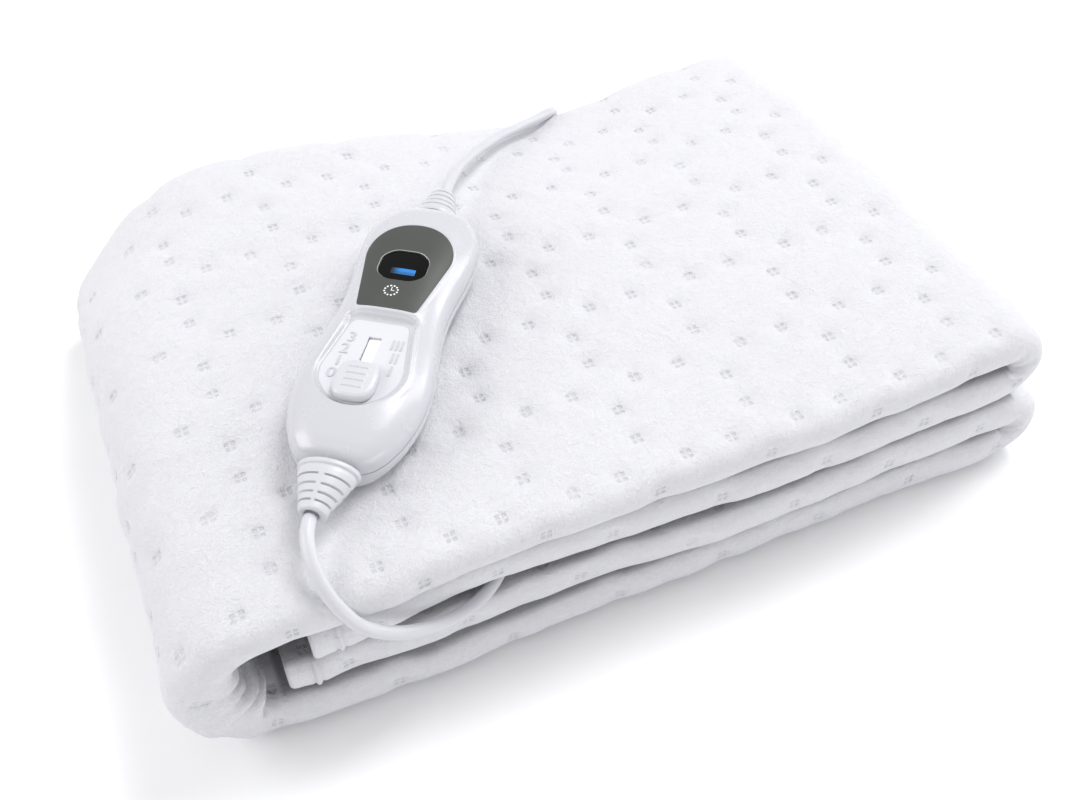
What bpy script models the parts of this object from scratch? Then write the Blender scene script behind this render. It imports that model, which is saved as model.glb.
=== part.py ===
"""Electric underblanket, folded, with its slide controller and mains lead.

Metres, +Z up. The origin is the middle of the folded stack's underside: +X runs along the
stack, -Y is the side with the folded front edges. Run it with
blender --background --python part.py, or from Blender's text editor.
"""

import math

import bmesh
import bpy
import numpy as np
from mathutils import Matrix, Vector

OBJECT = "electric_underblanket"

# ---- the cloth: 1.50 x 0.80 m, letter-folded across, then folded twice along ----
STACK_LENGTH = 0.375        # X size of the folded stack
STACK_DEPTH = 0.262         # Y size
PLY = 0.0056                # two felts welded over the heating wire
PLY_GAP = 0.0006
PLIES = 3                   # plies in each layer, from the letter fold across the width
PLY_STEP = PLY + PLY_GAP
LAYER = PLIES * PLY + (PLIES - 1) * PLY_GAP
HALF_LAYER = LAYER / 2
LOOSE_INSET = 0.0035        # how far the middle ply's free edge stops short of the front fold

# One row for each layer: height of its middle at the left, middle and right of the stack.
LAYERS = {
    "A": (0.0675, 0.0673, 0.0716),      # top
    "B": (0.0480, 0.0480, 0.0502),
    "C": (0.0285, 0.0285, 0.0304),
    "D": (0.0090, 0.0090, 0.0090),      # bottom, flat on the surface
}
HEM_END = {"B": 0.057, "C": 0.044}      # hemmed ends, measured from the stack's left end
PLAIN_STEP = 0.031          # station spacing along the layers under the top one
LEFT_BEND_STEPS = 10        # each half-turn's segments
RIGHT_BEND_STEPS = 6
FRONT_FOLD_STEPS = 6
FRONT_INNER_STEPS = 3
BACK_FOLD_STEPS = 4

# ---- spot welds: diamonds of four, repeated along X and Y ----
WELD_REPEAT = (0.0477, 0.0439)
WELD_THIRDS = 3             # stations and rows to a repeat
WELD_FIRST = (0.0473, HALF_LAYER)       # middle of the first diamond
WELD_DEPTH = 0.0013
WELD_TOLERANCE = 0.1        # of a station or row, in telling which points are welds

# How the squared-up stack settles: part of the height gained or lost around a place.
# columns: x, y, reach in x, reach in y, share of the height
SAGS = (
    (0.250, 0.262, 0.085, 0.066, -0.23),      # back edge, under the mains lead
    (0.000, 0.262, 0.040, 0.055, -0.40),      # back left corner
    (0.385, 0.275, 0.060, 0.060, -0.14),      # back right corner
    (0.100, 0.200, 0.070, 0.060, 0.015),      # soft crown on the left
    (0.205, 0.060, 0.060, 0.070, -0.012),     # shallow dip right of the controller
)
# How the edges of the layers stand in or out along Y. columns: x, height, reach in x,
# reach in height, shift at the back edge, shift at the front edge
EDGE_SHIFTS = (
    (0.245, 0.075, 0.080, 0.040, -0.011, 0.0),
    (0.375, 0.075, 0.070, 0.040, -0.005, 0.0),
    (0.000, 0.060, 0.045, 0.060, -0.013, 0.0),
    (0.110, 0.055, 0.090, 0.016, 0.000, 0.0022),
    (0.260, 0.020, 0.110, 0.014, 0.002, -0.0012),
    (0.330, 0.045, 0.070, 0.016, 0.000, 0.0015),
)
# The blanket lead slips between layers B and C here and lifts them apart.
LEAD_ROOM = {"x": 0.132, "reach_x": 0.040, "reach_y": 0.052, "up": 0.0046, "down": 0.0024}

# ---- the controller, in its own frame: X along it towards the display, Z up ----
CONTROLLER_AT = (-0.0681, -0.0266, 0.0772)
CONTROLLER_TURN = math.radians(54.6)
SEAM_HEIGHT = 0.0088
SEAM_GAP = 0.0003
GAP = 0.0003
DECK_POWER = 2.9            # squareness of a cross-section's top
BELLY_POWER = 3.4
SECTION_STEPS = 14
HEAD_STEPS = 16
PLATE_RINGS = (1.0, 0.66, 0.33)         # a plate's rings, as shares of its outline
CUT_TOP = 0.0352            # upper end of every cutter, clear of the shell
# One row for each station: distance along, half width, deck height
SHELL_STATIONS = (
    (-0.0710, 0.0110, 0.0150), (-0.0690, 0.0143, 0.0172), (-0.0655, 0.0176, 0.0190),
    (-0.0600, 0.0208, 0.0205), (-0.0520, 0.0237, 0.0219), (-0.0420, 0.0256, 0.0229),
    (-0.0320, 0.0260, 0.0234), (-0.0200, 0.0249, 0.0236), (-0.0070, 0.0229, 0.0236),
    (0.0060, 0.0217, 0.0236), (0.0190, 0.0222, 0.0236), (0.0320, 0.0238, 0.0235),
    (0.0430, 0.0246, 0.0231), (0.0530, 0.0238, 0.0222), (0.0600, 0.0216, 0.0209),
    (0.0655, 0.0183, 0.0192), (0.0690, 0.0148, 0.0173), (0.0710, 0.0098, 0.0150),
)
PANEL_THICK = 0.0010
PANEL_CENTRE = 0.0332       # middle of the panel's round head
PANEL_HEAD = 0.0182
PANEL_FOOT = -0.0005        # where the panel meets the slider field
PANEL_FOOT_HALF = 0.0130
WINDOW_CENTRE = 0.0240
WINDOW_HALF = (0.0088, 0.0118)
WINDOW_CHAMFER = (0.0041, 0.0055)
LENS_DROP = 0.0004
BAR_CENTRE = (0.0208, -0.0018)
BAR_HALF = (0.0021, 0.0056)
FIELD_FLOOR = 0.0206
FIELD_TOP = -0.0020
FIELD_TOP_HALF = 0.0126
FIELD_ROUND = -0.0325       # middle of the field's round end
FIELD_HALF = 0.0163
SLOT_HALF = (0.0170, 0.0026)
SLOT_CENTRE = -0.0310
SLOT_DEPTH = 0.0024
TRACK_THICK = 0.0012
KNOB_REST = -0.0388
KNOB_HALF = (0.0092, 0.0087)
KNOB_HEIGHT = 0.0042
KNOB_SIDES = 28
KNOB_POWER = 3.2            # squareness of the knob's outline
KNOB_LEVELS = ((0.0, 0.0), (0.78, 0.0), (1.0, -0.0009))   # share of the height, growth
KNOB_RIDGES = 4
RIDGE_PITCH = 0.0034
RIDGE_SIZE = (0.0011, 0.0100, 0.0008)

# ---- strain reliefs: turned, tapered and ribbed ----
RELIEF_HEIGHT = 0.0112      # of their axis, above the controller's underside
LOWER_RELIEF = {"start": -0.0713, "end": -0.0925, "base": 0.0104, "tip": 0.0052, "ribs": 5}
UPPER_RELIEF = {"start": 0.0713, "end": 0.0915, "base": 0.0078, "tip": 0.0043, "ribs": 5}
RIB_DEPTH = 0.0006
RIB_PROFILE = ((0.0, 0), (0.62, 0), (0.66, 1), (0.96, 1))   # share of a rib, whether sunk
RELIEF_SIDES = 16

# ---- cords ----
CORD_D = 0.0056
CORD_R = CORD_D / 2
CORD_STEP = 2 * CORD_D
CORD_FACETS = 2             # bevel_resolution
CURVE_SAMPLES = 24          # between two route points
END_GAP = 0.0009            # between a relief's tip and its cord's end face

COIL_AT = (-0.0900, 0.1700)
COIL_MID_R = 0.0280
COIL_ACROSS = 3
COIL_HIGH = 3
COIL_STEPS = 36
COIL_CORNER = 0.0035
COIL_LEAVE_R = 0.0396       # the plug's lead runs round the coil at this radius
TIE_WIDTH = 0.0080
TIE_THICK = 0.0010
TIE_SLACK = 0.0010          # on the inner side, where the ring curves away
TIE_AT = math.radians(200.0)

PLUG_AT = (0.0120, 0.1660)
PLUG_TURN = math.radians(6.0)
PLUG_LENGTH = 0.0340
PLUG_SIDE = ((0.0, 0.0090), (0.0119, 0.0104), (0.0245, 0.0176), (PLUG_LENGTH, 0.0176))
PLUG_THICK = 0.0137
PLUG_EDGE = 0.0022
PIN_SPACING = 0.0186
PIN_D = 0.0040
PIN_LENGTH = 0.0190
PIN_CHAMFER = 0.0008
PLUG_RELIEF = {"start": -GAP, "end": -GAP - 0.0220, "base": 0.0056, "tip": 0.0041, "ribs": 5}

EDGE_ANGLE = math.radians(40)           # edges sharper than this stay crisp
MERGE = 1e-5
SAME_LEVEL = 1e-6

COLOURS = {
    "felt": ((0.90, 0.90, 0.91), 0.95, 0.0),
    "shell_white": ((0.84, 0.84, 0.86), 0.28, 0.0),
    "panel_grey": ((0.12, 0.125, 0.12), 0.35, 0.0),
    "lens_black": ((0.01, 0.01, 0.012), 0.08, 0.0),
    "bar_blue": ((0.05, 0.30, 0.75), 0.30, 0.0),
    "track_white": ((0.95, 0.95, 0.95), 0.40, 0.0),
    "cord_white": ((0.85, 0.85, 0.87), 0.35, 0.0),
    "tie_white": ((0.75, 0.75, 0.77), 0.50, 0.0),
    "pin_metal": ((0.75, 0.72, 0.65), 0.30, 1.0),
}


# ---------------------------------------------------------------- helpers
def clear_scene():
    for item in list(bpy.data.objects):
        bpy.data.objects.remove(item, do_unlink=True)


def collection(name):
    group = bpy.data.collections.new(name)
    bpy.context.scene.collection.children.link(group)
    return group


def material(name):
    colour, roughness, metallic = COLOURS[name]
    finish = bpy.data.materials.new(name)
    finish.use_nodes = True
    shader = finish.node_tree.nodes["Principled BSDF"]
    shader.inputs["Base Color"].default_value = (*colour, 1.0)
    shader.inputs["Roughness"].default_value = roughness
    shader.inputs["Metallic"].default_value = metallic
    return finish


def add(group, name, data, finish, parent=None):
    item = bpy.data.objects.new(name, data)
    item.parent = parent
    if finish:
        data.materials.append(finish)
    group.objects.link(item)
    return item


def closed_mesh(name, points, faces):
    """A mesh from points and faces, merged, with its faces pointing out."""
    mesh = bpy.data.meshes.new(name)
    bm = bmesh.new()
    verts = [bm.verts.new(p) for p in points]
    for face in faces:
        bm.faces.new([verts[i] for i in face])
    bmesh.ops.recalc_face_normals(bm, faces=bm.faces)
    bm.to_mesh(mesh)
    bm.free()
    mesh.shade_smooth()
    mesh.set_sharp_from_angle(angle=EDGE_ANGLE)
    return mesh


def ring_faces(rings, size, closed=True):
    """Quads between consecutive rings of the same size, and a face at each end."""
    faces = []
    for r in range(rings - 1):
        for k in range(size):
            n = (k + 1) % size
            faces.append((r * size + k, r * size + n, (r + 1) * size + n, (r + 1) * size + k))
    if closed:
        faces.append(tuple(reversed(range(size))))
        faces.append(tuple((rings - 1) * size + k for k in range(size)))
    return faces


def smooth_curve(route, step):
    """Even points on a centripetal Catmull-Rom curve through the route's points."""
    route = [Vector(p) for p in route]
    ends = [2 * route[0] - route[1]] + route + [2 * route[-1] - route[-2]]
    dense = []
    for a, b, c, d in zip(ends, ends[1:], ends[2:], ends[3:]):
        t1 = (b - a).length ** 0.5
        t2 = t1 + (c - b).length ** 0.5
        t3 = t2 + (d - c).length ** 0.5
        for k in range(CURVE_SAMPLES):
            t = t1 + (t2 - t1) * k / CURVE_SAMPLES
            p1 = a.lerp(b, t / t1)
            p2 = b.lerp(c, (t - t1) / (t2 - t1))
            p3 = c.lerp(d, (t - t2) / (t3 - t2))
            dense.append(p1.lerp(p2, t / t2).lerp(p2.lerp(p3, (t - t1) / (t3 - t1)),
                                                  (t - t1) / (t2 - t1)))
    dense = np.array([tuple(p) for p in dense + [route[-1]]])
    run = np.concatenate(([0.0], np.cumsum(np.linalg.norm(np.diff(dense, axis=0), axis=1))))
    even = np.linspace(0, run[-1], max(3, round(run[-1] / step)) + 1)
    return np.stack([np.interp(even, run, dense[:, k]) for k in range(3)], axis=1)


def cord_tube(group, name, route, finish):
    points = smooth_curve(route, CORD_STEP)
    data = bpy.data.curves.new(name, "CURVE")
    data.dimensions = "3D"
    data.bevel_depth = CORD_R
    data.bevel_resolution = CORD_FACETS
    data.use_fill_caps = True
    spline = data.splines.new("POLY")
    spline.points.add(len(points) - 1)
    for point, place in zip(spline.points, points):
        point.co = (*place, 1.0)
    return add(group, name, data, finish)


# ---------------------------------------------------------------- the folded cloth
def ease(t):
    t = np.clip(t, 0, 1)
    return t ** 2 * (3 - 2 * t)


def layer_height(layer, x):
    """Height of a layer's middle, eased between its left, middle and right values."""
    left, middle, right = LAYERS[layer]
    share = 2 * np.asarray(x) / STACK_LENGTH
    return left + (middle - left) * ease(share) + (right - middle) * ease(share - 1)


def bend(x, low, high, start, end, steps):
    """Points inside a half-turn between two layers; angles from +X towards +Z."""
    angles = np.radians(np.linspace(start, end, steps + 1)[1:-1])
    radius = (high - low) / 2
    return np.stack([x + radius * np.cos(angles), (low + high) / 2 + radius * np.sin(angles)], 1)


def level(layer, xs):
    return np.stack([xs, layer_height(layer, xs)], 1)


def bend_ends():
    """Where the straight layers meet the left and the right bends."""
    left_r = (LAYERS["A"][0] - LAYERS["D"][0]) / 2
    right_r = (LAYERS["A"][2] - LAYERS["B"][2]) / 2
    return HALF_LAYER + left_r, STACK_LENGTH - HALF_LAYER - right_r


def top_stations(left, right):
    """X of the top layer's stations: three to a weld repeat, and the two bend ends."""
    step = WELD_REPEAT[0] / WELD_THIRDS
    count = int((right - WELD_FIRST[0]) / step) + 1
    return np.concatenate(([left], WELD_FIRST[0] + step * np.arange(count), [right]))


def plain_stations(start, end):
    return np.linspace(start, end, round(abs(end - start) / PLAIN_STEP) + 1)


def section_path():
    """The section's middle line in X and Z, from B's hem to C's hem, and its outer side."""
    left, right = bend_ends()
    at_left = {name: layer_height(name, left) for name in LAYERS}
    at_right = {name: layer_height(name, right) for name in LAYERS}
    path = np.concatenate([
        level("B", plain_stations(HEM_END["B"], right)),
        bend(right, at_right["B"], at_right["A"], -90, 90, RIGHT_BEND_STEPS),
        level("A", top_stations(left, right)[::-1]),
        bend(left, at_left["D"], at_left["A"], 90, 270, LEFT_BEND_STEPS),
        level("D", plain_stations(left, right)),
        bend(right, at_right["D"], at_right["C"], -90, 90, RIGHT_BEND_STEPS),
        level("C", plain_stations(right, HEM_END["C"])),
    ])
    run = np.concatenate(([0], np.cumsum(np.linalg.norm(np.diff(path, axis=0), axis=1))))
    tangent = np.stack([np.gradient(path[:, k], run) for k in range(2)], 1)
    tangent /= np.linalg.norm(tangent, axis=1, keepdims=True)
    outward = np.stack([tangent[:, 1], -tangent[:, 0]], 1)
    return path, outward


def arc(y, h, radius, start, end, steps):
    angles = np.radians(np.linspace(start, end, steps + 1)[1:-1])
    return np.stack([y + radius * np.cos(angles), h + radius * np.sin(angles)], 1)


def flat_run(start, end, height):
    """A flat side of the strip's outline, with a point on every row of weld middles."""
    low, high = sorted((start, end))
    rows = np.arange(WELD_FIRST[1] + WELD_REPEAT[1], STACK_DEPTH, WELD_REPEAT[1])
    rows = rows[(rows > low) & (rows < high - WELD_REPEAT[1] / 2)]
    stations = np.concatenate(([low], rows, [high]))
    return np.stack([stations if start < end else stations[::-1],
                     np.full(len(stations), height)], 1)


def strip_outline():
    """Outline of the letter-folded strip: Y, and the distance from the layer's middle.

    Ply b lies outermost, ply a in the middle, ply c innermost. The front fold joins b to c
    round a's free edge, and the back fold joins a to b.
    """
    half = PLY / 2
    front = HALF_LAYER
    back = STACK_DEPTH - PLY_STEP / 2 - half
    loose = front + LOOSE_INSET
    return np.concatenate([
        flat_run(loose, back, half),
        flat_run(back, front, PLY_STEP - half),
        arc(front, 0, PLY_STEP - half, 90, 270, FRONT_INNER_STEPS),
        flat_run(front, back, half - PLY_STEP),
        flat_run(back, front, -half - PLY_STEP),
        arc(front, 0, PLY_STEP + half, 270, 90, FRONT_FOLD_STEPS),
        flat_run(front, back, PLY_STEP + half),
        arc(back, PLY_STEP / 2, PLY_STEP / 2 + half, 90, -90, BACK_FOLD_STEPS),
        flat_run(back, loose, -half),
    ])


def hump(offset, reach):
    return np.exp(-(offset / reach) ** 2)


def settle(points):
    """Sag, edge shift and the lead's way in, as smooth moves of the squared-up stack."""
    x, y, z = points.T
    share = sum(amount * hump(x - sx, rx) * hump(y - sy, ry) for sx, sy, rx, ry, amount in SAGS)
    at_back = np.clip(y / STACK_DEPTH, 0, 1) ** 2
    at_front = (1 - np.clip(y / STACK_DEPTH, 0, 1)) ** 2
    shift = sum(hump(x - sx, rx) * hump(z - sz, rz) * (back * at_back + front * at_front)
                for sx, sz, rx, rz, back, front in EDGE_SHIFTS)
    between = (layer_height("B", x) + layer_height("C", x)) / 2
    top = layer_height("A", x) + HALF_LAYER
    room = hump(x - LEAD_ROOM["x"], LEAD_ROOM["reach_x"]) * hump(y, LEAD_ROOM["reach_y"])
    lift = np.where(z > between, LEAD_ROOM["up"] * (top - z) / (top - between),
                    -LEAD_ROOM["down"] * z / between)
    return np.stack([x, y + shift, (z + room * lift) * (1 + share)], 1)


def weld_pressed(x, y, z):
    """True on a weld spot of the top layer's upper face."""
    if abs(z - layer_height("A", x) - HALF_LAYER) > PLY_GAP:
        return False
    column = (x - WELD_FIRST[0]) / (WELD_REPEAT[0] / WELD_THIRDS)
    row = (y - WELD_FIRST[1]) / (WELD_REPEAT[1] / WELD_THIRDS)
    on_grid = max(abs(column - round(column)), abs(row - round(row))) < WELD_TOLERANCE
    middle_column = round(column) % WELD_THIRDS == 0
    middle_row = round(row) % WELD_THIRDS == 0
    return on_grid and middle_column != middle_row


def blanket(group, finish):
    """The letter-folded strip carried along the back-and-forth section, as one solid."""
    path, outward = section_path()
    outline = strip_outline()
    size = len(outline)
    points = np.empty((len(path), size, 3))
    points[:, :, 0] = path[:, None, 0] + outward[:, None, 0] * outline[None, :, 1]
    points[:, :, 1] = outline[None, :, 0]
    points[:, :, 2] = path[:, None, 1] + outward[:, None, 1] * outline[None, :, 1]
    mesh = closed_mesh("blanket", points.reshape(-1, 3), ring_faces(len(path), size))
    bm = bmesh.new()
    bm.from_mesh(mesh)
    rows = [e for e in bm.edges if lies_on_top(e) and e.calc_length() > WELD_REPEAT[1] / 2
            and abs(e.verts[0].co.x - e.verts[1].co.x) < PLY_GAP]
    bmesh.ops.subdivide_edges(bm, edges=rows, cuts=WELD_THIRDS - 1, use_grid_fill=True,
                              use_single_edge=True)
    flat = np.array([v.co for v in bm.verts])
    settled = settle(flat)
    for vert, before, after in zip(bm.verts, flat, settled):
        after[2] -= WELD_DEPTH if weld_pressed(*before) else 0.0
        vert.co = after
    middle = (settled[:, :2].max(axis=0) + settled[:, :2].min(axis=0)) / 2
    bmesh.ops.translate(bm, verts=bm.verts, vec=(-middle[0], -middle[1], 0.0))
    bm.to_mesh(mesh)
    bm.free()
    return add(group, "blanket", mesh, finish)


def lies_on_top(edge):
    left, right = bend_ends()
    ends = [v.co for v in edge.verts]
    high = all(abs(p.z - layer_height("A", p.x) - HALF_LAYER) < PLY_GAP for p in ends)
    return high and all(left - PLY_GAP < p.x < right + PLY_GAP for p in ends)


# ---------------------------------------------------------------- the controller
def shell_size(x):
    """Half width and deck height of the housing at a distance along it."""
    table = np.array(SHELL_STATIONS)
    return np.interp(x, table[:, 0], table[:, 1]), np.interp(x, table[:, 0], table[:, 2])


def deck_height(x, y):
    half, top = shell_size(x)
    flat = np.clip(1 - np.abs(y / half) ** DECK_POWER, 0, 1) ** (1 / DECK_POWER)
    return SEAM_HEIGHT + (top - SEAM_HEIGHT) * flat


def half_section(half, rim, crest, power):
    """A closed half section: from the rim over the crest to the other rim."""
    angle = np.linspace(0, math.pi, SECTION_STEPS + 1)
    across = half * np.sign(np.cos(angle)) * np.abs(np.cos(angle)) ** (2 / power)
    up = rim + (crest - rim) * np.sin(angle) ** (2 / power)
    return np.stack([across, up], 1)


def shell(group, name, rim, crests, power, finish, parent):
    """Half housing: half sections lofted along the stations, closed by a flat seam face."""
    rings = []
    for (along, half, _), crest in zip(SHELL_STATIONS, crests):
        section = half_section(half, rim, crest, power)
        rings.append(np.insert(section, 0, along, axis=1))
    points = np.concatenate(rings)
    mesh = closed_mesh(name, points, ring_faces(len(rings), SECTION_STEPS + 1))
    return add(group, name, mesh, finish, parent)


def at_height(height):
    return lambda x, y: height


def below_deck(drop=0.0):
    return lambda x, y: deck_height(x, y) - drop


def plate(name, outline, lower, upper):
    """A closed plate on an outline, its faces at the heights that two functions give."""
    outline = np.array(outline)
    centre = outline.mean(axis=0)
    size = len(outline)
    points = []
    for height in (lower, upper):
        for share in PLATE_RINGS:
            flat = centre + (outline - centre) * share
            points.extend((x, y, height(x, y)) for x, y in flat)
        points.append((*centre, height(*centre)))
    block = size * len(PLATE_RINGS) + 1
    faces = []
    for side in range(2):
        base = side * block
        rings = ring_faces(len(PLATE_RINGS), size, closed=False)
        faces.extend(tuple(base + i for i in face) for face in rings)
        last = base + size * (len(PLATE_RINGS) - 1)
        faces.extend((last + k, last + (k + 1) % size, base + block - 1) for k in range(size))
    faces.extend((k, (k + 1) % size, block + (k + 1) % size, block + k) for k in range(size))
    return closed_mesh(name, points, faces)


def panel_outline(grow=0.0):
    """Teardrop: a round head, straight sides that draw in, and a straight foot."""
    radius = PANEL_HEAD + grow
    foot = np.array((PANEL_FOOT - grow, PANEL_FOOT_HALF + grow))
    reach = foot - np.array((PANEL_CENTRE, 0.0))
    side = math.atan2(reach[1], reach[0]) - math.acos(radius / np.linalg.norm(reach))
    head = np.linspace(side, -side, HEAD_STEPS + 1)
    points = [(PANEL_CENTRE + radius * math.cos(a), radius * math.sin(a)) for a in head]
    return points + [(foot[0], -foot[1]), (foot[0], foot[1])]


def window_outline(grow=0.0):
    """The window: a rectangle with its corners cut off."""
    along, across = WINDOW_HALF[0] + grow, WINDOW_HALF[1] + grow
    short, low = along - WINDOW_CHAMFER[0], across - WINDOW_CHAMFER[1]
    corners = ((along, low), (short, across), (-short, across), (-along, low),
               (-along, -low), (-short, -across), (short, -across), (along, -low))
    return [(WINDOW_CENTRE + a, b) for a, b in corners]


def field_outline():
    """The slider field: a straight top, sides that widen, and a round lower end."""
    reach = np.array((FIELD_TOP - FIELD_ROUND, FIELD_TOP_HALF))
    side = math.atan2(reach[1], reach[0]) + math.acos(FIELD_HALF / np.linalg.norm(reach))
    end = np.linspace(side, 2 * math.pi - side, HEAD_STEPS + 1)
    points = [(FIELD_ROUND + FIELD_HALF * math.cos(a), FIELD_HALF * math.sin(a)) for a in end]
    return points + [(FIELD_TOP, -FIELD_TOP_HALF), (FIELD_TOP, FIELD_TOP_HALF)]


def box_outline(centre, half):
    return [(centre[0] + a * half[0], centre[1] + b * half[1])
            for a, b in ((1, 1), (-1, 1), (-1, -1), (1, -1))]


def cut(target, cutters, name, mesh, parent):
    """Cut a mesh's shape out of a target with an exact Boolean."""
    tool = add(cutters, name, mesh, None, parent)
    tool.hide_render = True
    tool.display_type = "WIRE"
    boolean = target.modifiers.new(name, "BOOLEAN")
    boolean.operation = "DIFFERENCE"
    boolean.solver = "EXACT"
    boolean.object = tool


def upper_shell(group, cutters, finish, parent):
    """The upper housing with the panel's seat, the slider field and its slot cut in."""
    crests = [row[2] for row in SHELL_STATIONS]
    item = shell(group, "upper_shell", SEAM_HEIGHT + SEAM_GAP, crests, DECK_POWER, finish,
                 parent)
    for name, outline, floor in (
            ("cut_panel", panel_outline(GAP), below_deck(PANEL_THICK + GAP)),
            ("cut_field", field_outline(), at_height(FIELD_FLOOR)),
            ("cut_slot", box_outline((SLOT_CENTRE, 0), SLOT_HALF),
             at_height(FIELD_FLOOR - SLOT_DEPTH))):
        cut(item, cutters, name, plate(name, outline, floor, at_height(CUT_TOP)), parent)


def display(group, cutters, finishes, parent):
    """Dark panel flush in the deck, a black lens in its window and a blue bar behind it."""
    under, lens_top = below_deck(PANEL_THICK), below_deck(LENS_DROP)
    through, above = at_height(SEAM_HEIGHT), at_height(CUT_TOP)
    panel = add(group, "display_panel",
                plate("display_panel", panel_outline(), under, below_deck()),
                finishes["panel_grey"], parent)
    cut(panel, cutters, "cut_window", plate("cut_window", window_outline(), through, above),
        parent)
    lens = add(group, "display_lens",
               plate("display_lens", window_outline(-GAP), under, lens_top),
               finishes["lens_black"], parent)
    around_bar = box_outline(BAR_CENTRE, [h + GAP for h in BAR_HALF])
    cut(lens, cutters, "cut_bar", plate("cut_bar", around_bar, through, above), parent)
    bar = plate("display_bar", box_outline(BAR_CENTRE, BAR_HALF), under, lens_top)
    add(group, "display_bar", bar, finishes["bar_blue"], parent)


def knob_outline(grow=0.0):
    """Rounded rectangle with bowed ends, from a superellipse."""
    angles = np.linspace(0, 2 * math.pi, KNOB_SIDES, endpoint=False)
    power = 2 / KNOB_POWER
    return [((KNOB_HALF[0] + grow) * math.copysign(abs(math.cos(a)) ** power, math.cos(a)),
             (KNOB_HALF[1] + grow) * math.copysign(abs(math.sin(a)) ** power, math.sin(a)))
            for a in angles]


def slider(group, finishes, parent):
    """The track in the slot, and the knob that slides over it."""
    bottom = FIELD_FLOOR - SLOT_DEPTH + GAP
    strip = plate("slider_track", box_outline((SLOT_CENTRE, 0), [h - GAP for h in SLOT_HALF]),
                  at_height(bottom), at_height(bottom + TRACK_THICK))
    add(group, "slider_track", strip, finishes["track_white"], parent)
    knob = add(group, "slider_knob", knob_mesh(FIELD_FLOOR + GAP), finishes["shell_white"],
               parent)
    knob.location = (KNOB_REST, 0, 0)


def knob_mesh(base):
    """Bowed cap with raised grip ridges, joined into one body."""
    points = [(x, y, base + KNOB_HEIGHT * share)
              for share, grow in KNOB_LEVELS for x, y in knob_outline(grow)]
    mesh = closed_mesh("slider_knob", points, ring_faces(len(KNOB_LEVELS), KNOB_SIDES))
    bm = bmesh.new()
    bm.from_mesh(mesh)
    for k in range(KNOB_RIDGES):
        along = (k - (KNOB_RIDGES - 1) / 2) * RIDGE_PITCH
        raise_ridge(bm, along, base + KNOB_HEIGHT)
    bm.to_mesh(mesh)
    bm.free()
    return mesh


def raise_ridge(bm, along, top):
    """Cut the knob's top face along a ridge and lift that strip."""
    for edge_x in (along - RIDGE_SIZE[0] / 2, along + RIDGE_SIZE[0] / 2):
        split_top(bm, (edge_x, 0, top), (1, 0, 0), top)
    for edge_y in (-RIDGE_SIZE[1] / 2, RIDGE_SIZE[1] / 2):
        split_top(bm, (0, edge_y, top), (0, 1, 0), top)
    strip = [f for f in bm.faces if on_level(f, top)
             and abs(f.calc_center_median().x - along) < RIDGE_SIZE[0] / 2
             and abs(f.calc_center_median().y) < RIDGE_SIZE[1] / 2]
    raised = bmesh.ops.extrude_face_region(bm, geom=strip)
    verts = [g for g in raised["geom"] if isinstance(g, bmesh.types.BMVert)]
    bmesh.ops.delete(bm, geom=strip, context="FACES")
    bmesh.ops.translate(bm, verts=verts, vec=(0, 0, RIDGE_SIZE[2]))


def on_level(face, height):
    return all(abs(v.co.z - height) < SAME_LEVEL for v in face.verts)


def split_top(bm, place, normal, top):
    faces = [f for f in bm.faces if on_level(f, top)]
    geom = faces + list({e for f in faces for e in f.edges})
    bmesh.ops.bisect_plane(bm, geom=geom, plane_co=place, plane_no=normal, dist=SAME_LEVEL)


def turn_profile(group, name, profile, closed, steps, finish, parent=None):
    """A body of revolution about Z from (radius, height) pairs, listed top to bottom."""
    count = len(profile)
    mesh = bpy.data.meshes.new(name)
    mesh.from_pydata([(radius, 0.0, height) for radius, height in profile],
                     [(k, (k + 1) % count) for k in range(count if closed else count - 1)], [])
    item = add(group, name, mesh, finish, parent)
    turned = item.modifiers.new("turned", "SCREW")
    turned.steps = turned.render_steps = steps
    turned.use_merge_vertices = True
    turned.merge_threshold = MERGE
    return item


def relief(group, name, spec, height, finish, parent):
    """A tapered strain relief with raised rings, its axis along its parent's X."""
    length = spec["end"] - spec["start"]
    profile = [(0.0, 0.0)]
    for k in range(spec["ribs"]):
        for share, sunk in RIB_PROFILE:
            place = (k + share) / spec["ribs"]
            radius = spec["base"] + (spec["tip"] - spec["base"]) * place - RIB_DEPTH * sunk
            profile.append((radius, length * place))
    profile += [(spec["tip"], length), (0.0, length)]
    if length > 0:
        profile.reverse()
    item = turn_profile(group, name, profile, False, RELIEF_SIDES, finish, parent)
    item.location = (spec["start"], 0, height)
    item.rotation_euler = (0, math.pi / 2, 0)


# ---------------------------------------------------------------- cords, coil and plug
def on_controller(along):
    """World place of a point on the reliefs' axis."""
    turn = Matrix.Rotation(CONTROLLER_TURN, 3, "Z")
    return Vector(CONTROLLER_AT) + turn @ Vector((along, 0, RELIEF_HEIGHT))


def blanket_lead_route():
    """From the lower relief over the front edge and in between layers B and C."""
    return [on_controller(LOWER_RELIEF["end"] - END_GAP),
            (-0.1246, -0.1070, 0.0883), (-0.1260, -0.1112, 0.0876), (-0.1267, -0.1158, 0.0861),
            (-0.1268, -0.1207, 0.0839), (-0.1262, -0.1254, 0.0810), (-0.1247, -0.1298, 0.0774),
            (-0.1220, -0.1336, 0.0722),
            (-0.1177, -0.1369, 0.0655), (-0.1100, -0.1383, 0.0582), (-0.1010, -0.1380, 0.0520),
            (-0.0910, -0.1362, 0.0467), (-0.0812, -0.1332, 0.0431), (-0.0720, -0.1289, 0.0405),
            (-0.0640, -0.1234, 0.0392), (-0.0570, -0.1168, 0.0388)]


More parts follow.
